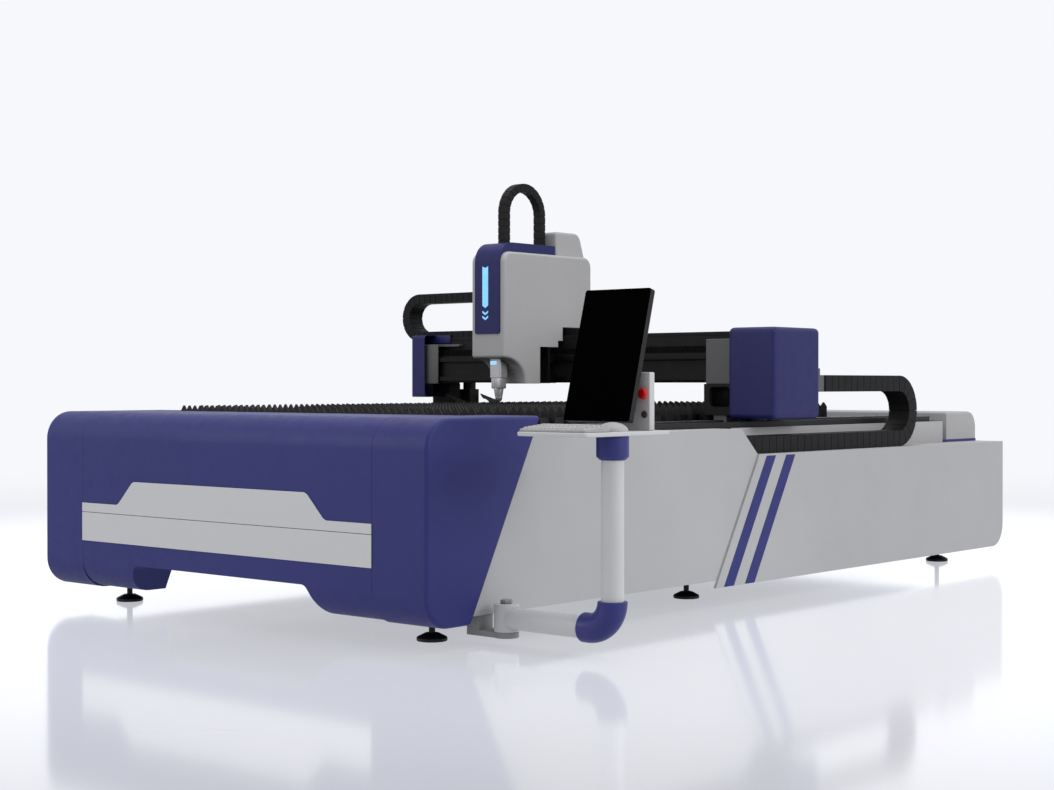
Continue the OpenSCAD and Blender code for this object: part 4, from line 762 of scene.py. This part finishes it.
cover_wide = 0.01
cover_edge = 0.014
mid_low = torch_low.x - slot_gap
mid_high = torch_high.x + slot_gap
arch_y, arch_z = leg_start, 0.125


def soffit(y):
    """Point of the curved underside at a depth."""
    return (y, foot + arch_z * math.sqrt(max(0.0, 1 - ((y - front) / arch_y) ** 2)))


def soffit_run(y0, y1, count):
    """Points of the underside from one depth to another, close together where it is steep."""
    first, last = (math.asin(min(1.0, (y - front) / arch_y)) for y in (y0, y1))
    return [soffit(front + arch_y * math.sin(first + (last - first) * k / count)) for k in range(count + 1)]


def mark_open(faces):
    """Marks faces that the finished sheet leaves open."""
    for face in faces:
        face.material_index = 1


def at_opening(edge):
    """Whether an edge borders a face marked open."""
    return any(face.material_index == 1 for face in edge.link_faces)


def at_end(edge):
    """Whether an edge borders one of the flat ends across."""
    return any(abs(face.normal.x) > square_on for face in edge.link_faces)


def opened(bm):
    """Takes the faces marked open out of the form."""
    bmesh.ops.delete(bm, geom=[f for f in bm.faces if f.material_index == 1], context="FACES")


before_slot, in_slot, after_slot = 3, 4, 6
under = [*soffit_run(front, slot_front, before_slot),
         *soffit_run(slot_front, slot_back, in_slot)[1:],
         *soffit_run(slot_back, leg_front, after_slot)[1:]]
rear = [(leg_back, foot), (leg_back, neck_z), (neck_in, neck_z), (neck_in, neck_top),
        (neck_y, neck_top), (neck_y, span_z), (back, span_z)]
outline = [*under, *rear, *arc((back - top_r, top - top_r), (top_r, top_r), 0, 90, count=6),
           (chain_back, top), (chain_front, top),
           *arc((front + top_r, top - top_r), (top_r, top_r), 90, 180, count=6)]
bm = bmesh.new()
sides = extruded(bm, outline, (low.x - cover_wide, mid_low, mid_high, high.x + cover_wide))
bmesh.ops.recalc_face_normals(bm, faces=bm.faces)
for k in range(len(under) - 1, len(under) + len(rear) - 1):
    mark_open(sides[k])
mark_open([sides[k][1] for k in range(before_slot, before_slot + in_slot)])
mark_open([sides[outline.index((chain_back, top))][1]])
rim = [e for e in bm.edges if at_end(e) and not at_opening(e)]
rim += [e for first, second in zip(sides[-1], sides[0]) for e in first.edges if e in second.edges[:]]
rounded(bm, rim, cover_edge, segments=4, material=0)
opened(bm)
cover = shelled("head_cover_skin", bm, panel_t, grey_paint)
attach(cover, "carriage")
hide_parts("head_cover")

low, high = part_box("head_trim")
trim_in = 0.012
trim_r = 0.095
trim_t = 0.002
trim_edge, trim_corner = 0.0045, 0.012
against = [(front, low.z), *arc((front + top_r, top - top_r), (top_r, top_r), 180, 90, count=6),
           (high.y, top)]
outline = [(low.y, low.z), *against, (high.y, high.z), (chain_back, high.z), (chain_front, high.z),
           *arc((low.y + trim_r, high.z - trim_r), (trim_r, trim_r), 90, 180, count=8)]
bm = bmesh.new()
sides = extruded(bm, outline, (low.x + trim_in, mid_low, mid_high, high.x - trim_in))
bmesh.ops.recalc_face_normals(bm, faces=bm.faces)
for k in range(1, len(against)):
    mark_open(sides[k])
mark_open([sides[outline.index((chain_back, high.z))][1]])
foot_corners = [e for f in (sides[0][0], sides[0][2]) for e in f.edges if at_end(e)]
rounded(bm, foot_corners, trim_corner, segments=4, material=0)
steep = math.radians(60)
rim = [e for e in bm.edges if e.is_manifold and e.calc_face_angle() > steep
       and at_end(e) and not at_opening(e)]
rounded(bm, rim, trim_edge, segments=3, material=0)
opened(bm)
# The trim takes the darkened blue, which paints the shade on the head's front.
trim = shelled("head_trim_skin", bm, trim_t, shade_darkened_blue)
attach(trim, "carriage")
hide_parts("head_trim")

low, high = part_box("motor_cover")
hump_edge = 0.012
brow_r = 0.018
back_in = 0.075
back_r = (0.05, 0.06)
outline = [(low.y, low.z), *arc((low.y + brow_r, high.z - brow_r), (brow_r, brow_r), 180, 90, count=4),
           *arc((high.y - back_in, high.z - back_r[1]), back_r, 90, 20, count=6), (high.y, low.z)]
bm = bmesh.new()
sides = extruded(bm, outline, (low.x, high.x))
bmesh.ops.recalc_face_normals(bm, faces=bm.faces)
mark_open(sides[-1])
rim = [e for e in bm.edges if at_end(e) and not at_opening(e)]
rounded(bm, rim, hump_edge, segments=4, material=0)
opened(bm)
hump = shelled("motor_cover_skin", bm, cover_t, grey_paint)
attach(hump, "carriage")
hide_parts("motor_cover")

eased("carriage_plate", motor_black, width=0.002)
eased("x_guide_blocks", x_rail_steel, width=0.0015)
eased("x_motor", motor_black, width=0.002)
dress(rack_steel, "x_pinion")
eased("z_slide", plate_paint, width=0.0015)
eased("cutting_head", head_metal, width=0.0015)
axis = (torch_low + torch_high) / 2
body_half_x, body_half_y = 0.029, 0.024
body_foot, body_top = 0.932, 0.994
taper_rings = [(0.024, 0.934), (0.024, 0.928), (0.0195, 0.9), (0.018, 0.8915)]
bm = bmesh.new()
slab(bm, (axis.x - body_half_x, axis.y - body_half_y, body_foot),
     (axis.x + body_half_x, axis.y + body_half_y, body_top), edge=0.004, segments=3)
turned(bm, (axis.x, axis.y, 0.0), taper_rings)
lower_body = add_piece("torch_lower_body", bm, head_metal)
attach(lower_body, "head")
low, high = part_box("nozzle")
bore_r, bore_depth = 0.0012, 0.006
face_r, cone_r, nut_r = 0.005, 0.0118, 0.0176
cone_up, nut_up = 0.0035, 0.0145
tip_rings = [(bore_r, low.z + bore_depth), (bore_r, low.z), (face_r, low.z), (cone_r, low.z + cone_up),
             (nut_r, low.z + nut_up), (nut_r, high.z)]
bm = bmesh.new()
turned(bm, ((low.x + high.x) / 2, (low.y + high.y) / 2, 0.0), tip_rings)
tip = add_piece("nozzle_tip", bm, nozzle_steel)
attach(tip, "head")
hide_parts("nozzle")


def lit_lens(name, colour, power):
    """Milky plastic lit from behind, a little brighter in places."""
    material, tree, shader = new_finish(name)
    glow = spread(tree, noise(tree, texture_place(tree), scale=30.0), power * 0.9, power * 1.1)
    shader.inputs["Base Color"].default_value = colour
    shader.inputs["Emission Color"].default_value = colour
    tree.links.new(glow, shader.inputs["Emission Strength"])
    shader.inputs["Roughness"].default_value = 0.3
    return material


light_lens = lit_lens("light_lens", tint(120, 190, 245), power=0.6)
eased("head_light", light_lens, width=0.0006)
lamp_lens = lit_lens("lamp_lens", tint(150, 205, 245), power=0.75)
lamp_start, lamp_end = 0.006, 0.047
lamp_out, lamp_sunk = 0.002, 0.001
lamp_foot, lamp_top = 1.048, 1.066
block_piece("head_lamp", "head", (torch_low.x + lamp_start, torch_low.y - lamp_out, lamp_foot),
            (torch_low.x + lamp_end, torch_low.y + lamp_sunk, lamp_top),
            lamp_lens, edge=0.0008)


# Operator console
# A bent pipe arm on a bracket at the bed's corner, coated pale grey with blue fittings, and a
# swivelling sheet tray that carries the flat button panel and the moulded monitor.
pipe_coat = powder_coat("pipe_coat", tint(186, 186, 187), rough=0.4)
monitor_plastic = moulded("monitor_plastic", tint(14, 14, 15), rough=0.45)
stop_red = moulded("stop_red", tint(208, 10, 9), rough=0.3, sheen=0.4)
button_dark = moulded("button_dark", tint(70, 56, 50), rough=0.4)
bracket_grey = powder_coat("bracket_grey", tint(132, 132, 133), rough=0.5)
eased("arm_bracket", bracket_grey, width=0.003, segments=3)
eased("console_pipes", pipe_coat, width=0.001)
eased("swivel_cap", grey_paint, width=0.001)
console_grey = powder_coat("console_grey", tint(186, 186, 187), rough=0.45)
console_blue = powder_coat("console_blue", tint(47, 50, 108), rough=0.4)
eased("arm_elbow", console_blue, width=0.003)
eased("post_collar", console_blue, width=0.0015)
eased("keyboard_tray", console_grey, width=0.004, segments=3)
low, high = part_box("button_box")
panel_in, panel_depth = 0.005, 0.03
panel = block_piece("button_panel", "console_top", low, (high.x - panel_in, low.y + panel_depth, high.z),
                    console_grey, edge=0.004, segments=3)
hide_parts("button_box")
eased("monitor_shell", monitor_plastic, width=0.003, segments=3)
eased("estop_button", stop_red, width=0.0015)
eased("start_button", button_dark, width=0.001)


def dark_glass(name):
    """Switched-off screen under matt glass with a faint smear."""
    material, tree, shader = new_finish(name)
    smear = spread(tree, noise(tree, texture_place(tree), scale=18.0, detail=4.0), low=0.3, high=0.45)
    tree.links.new(smear, shader.inputs["Roughness"])
    shader.inputs["Base Color"].default_value = tint(3, 3, 4)
    shader.inputs["Specular IOR Level"].default_value = 0.0
    return material


eased("monitor_screen", dark_glass("screen"), width=0.0008)


# Keyboard
# A low plastic keyboard lies on the tray before the monitor: a wedge-shaped case with five rows
# of keys, each a separate tapered cap.
key_plastic = moulded("key_plastic", tint(176, 176, 177), rough=0.45)
case_plastic = moulded("case_plastic", tint(160, 160, 161), rough=0.5)
low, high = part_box("keyboard_tray")
tray_top = high.z
case_in_x, case_in_y = 0.008, 0.016
case_low = Vector((low.x + case_in_x, low.y + case_in_y, tray_top))
case_size = Vector((0.29, 0.135, 0.0))
front_h = 0.01
rear_h = 0.023
case_edge = 0.0025


def case_height(y):
    """Height of the case's sloping top at a depth."""
    return tray_top + front_h + (rear_h - front_h) * (y - case_low.y) / case_size.y


bm = bmesh.new()
slab(bm, case_low, case_low + case_size + Vector((0, 0, rear_h)), edge=0.0)
for vert in bm.verts:
    if vert.co.z > tray_top + rear_h / 2:
        vert.co.z = case_height(vert.co.y)
rounded(bm, list(bm.edges), case_edge, segments=3)
case = add_piece("keyboard_case", bm, case_plastic)
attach(case, "console_top")

rows, columns = 5, 14
key_gap = 0.0022
key_margin = 0.009
key_h = 0.005
key_sunk = 0.002
key_draw = 0.0016
key_edge = 0.0007
pitch_x = (case_size.x - 2 * key_margin) / columns
pitch_y = (case_size.y - 2 * key_margin) / rows
bm = bmesh.new()
for row in range(rows):
    for column in range(columns):
        x0 = case_low.x + key_margin + column * pitch_x
        y0 = case_low.y + key_margin + row * pitch_y
        x1, y1 = x0 + pitch_x - key_gap, y0 + pitch_y - key_gap
        base = case_height((y0 + y1) / 2)
        made = bmesh.ops.create_cube(bm, size=1.0)["verts"]
        for vert in made:
            top = vert.co.z > 0
            draw = key_draw if top else 0.0
            vert.co.x = x1 - draw if vert.co.x > 0 else x0 + draw
            vert.co.y = y1 - draw if vert.co.y > 0 else y0 + draw
            vert.co.z = base + (key_h if top else -key_sunk)
rounded(bm, list(bm.edges), key_edge, segments=1)
keys = add_piece("keyboard_keys", bm, key_plastic)
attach(keys, "console_top")


# Size
# The dressed machine's box, measured over every shown piece but the stage.
low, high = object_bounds()
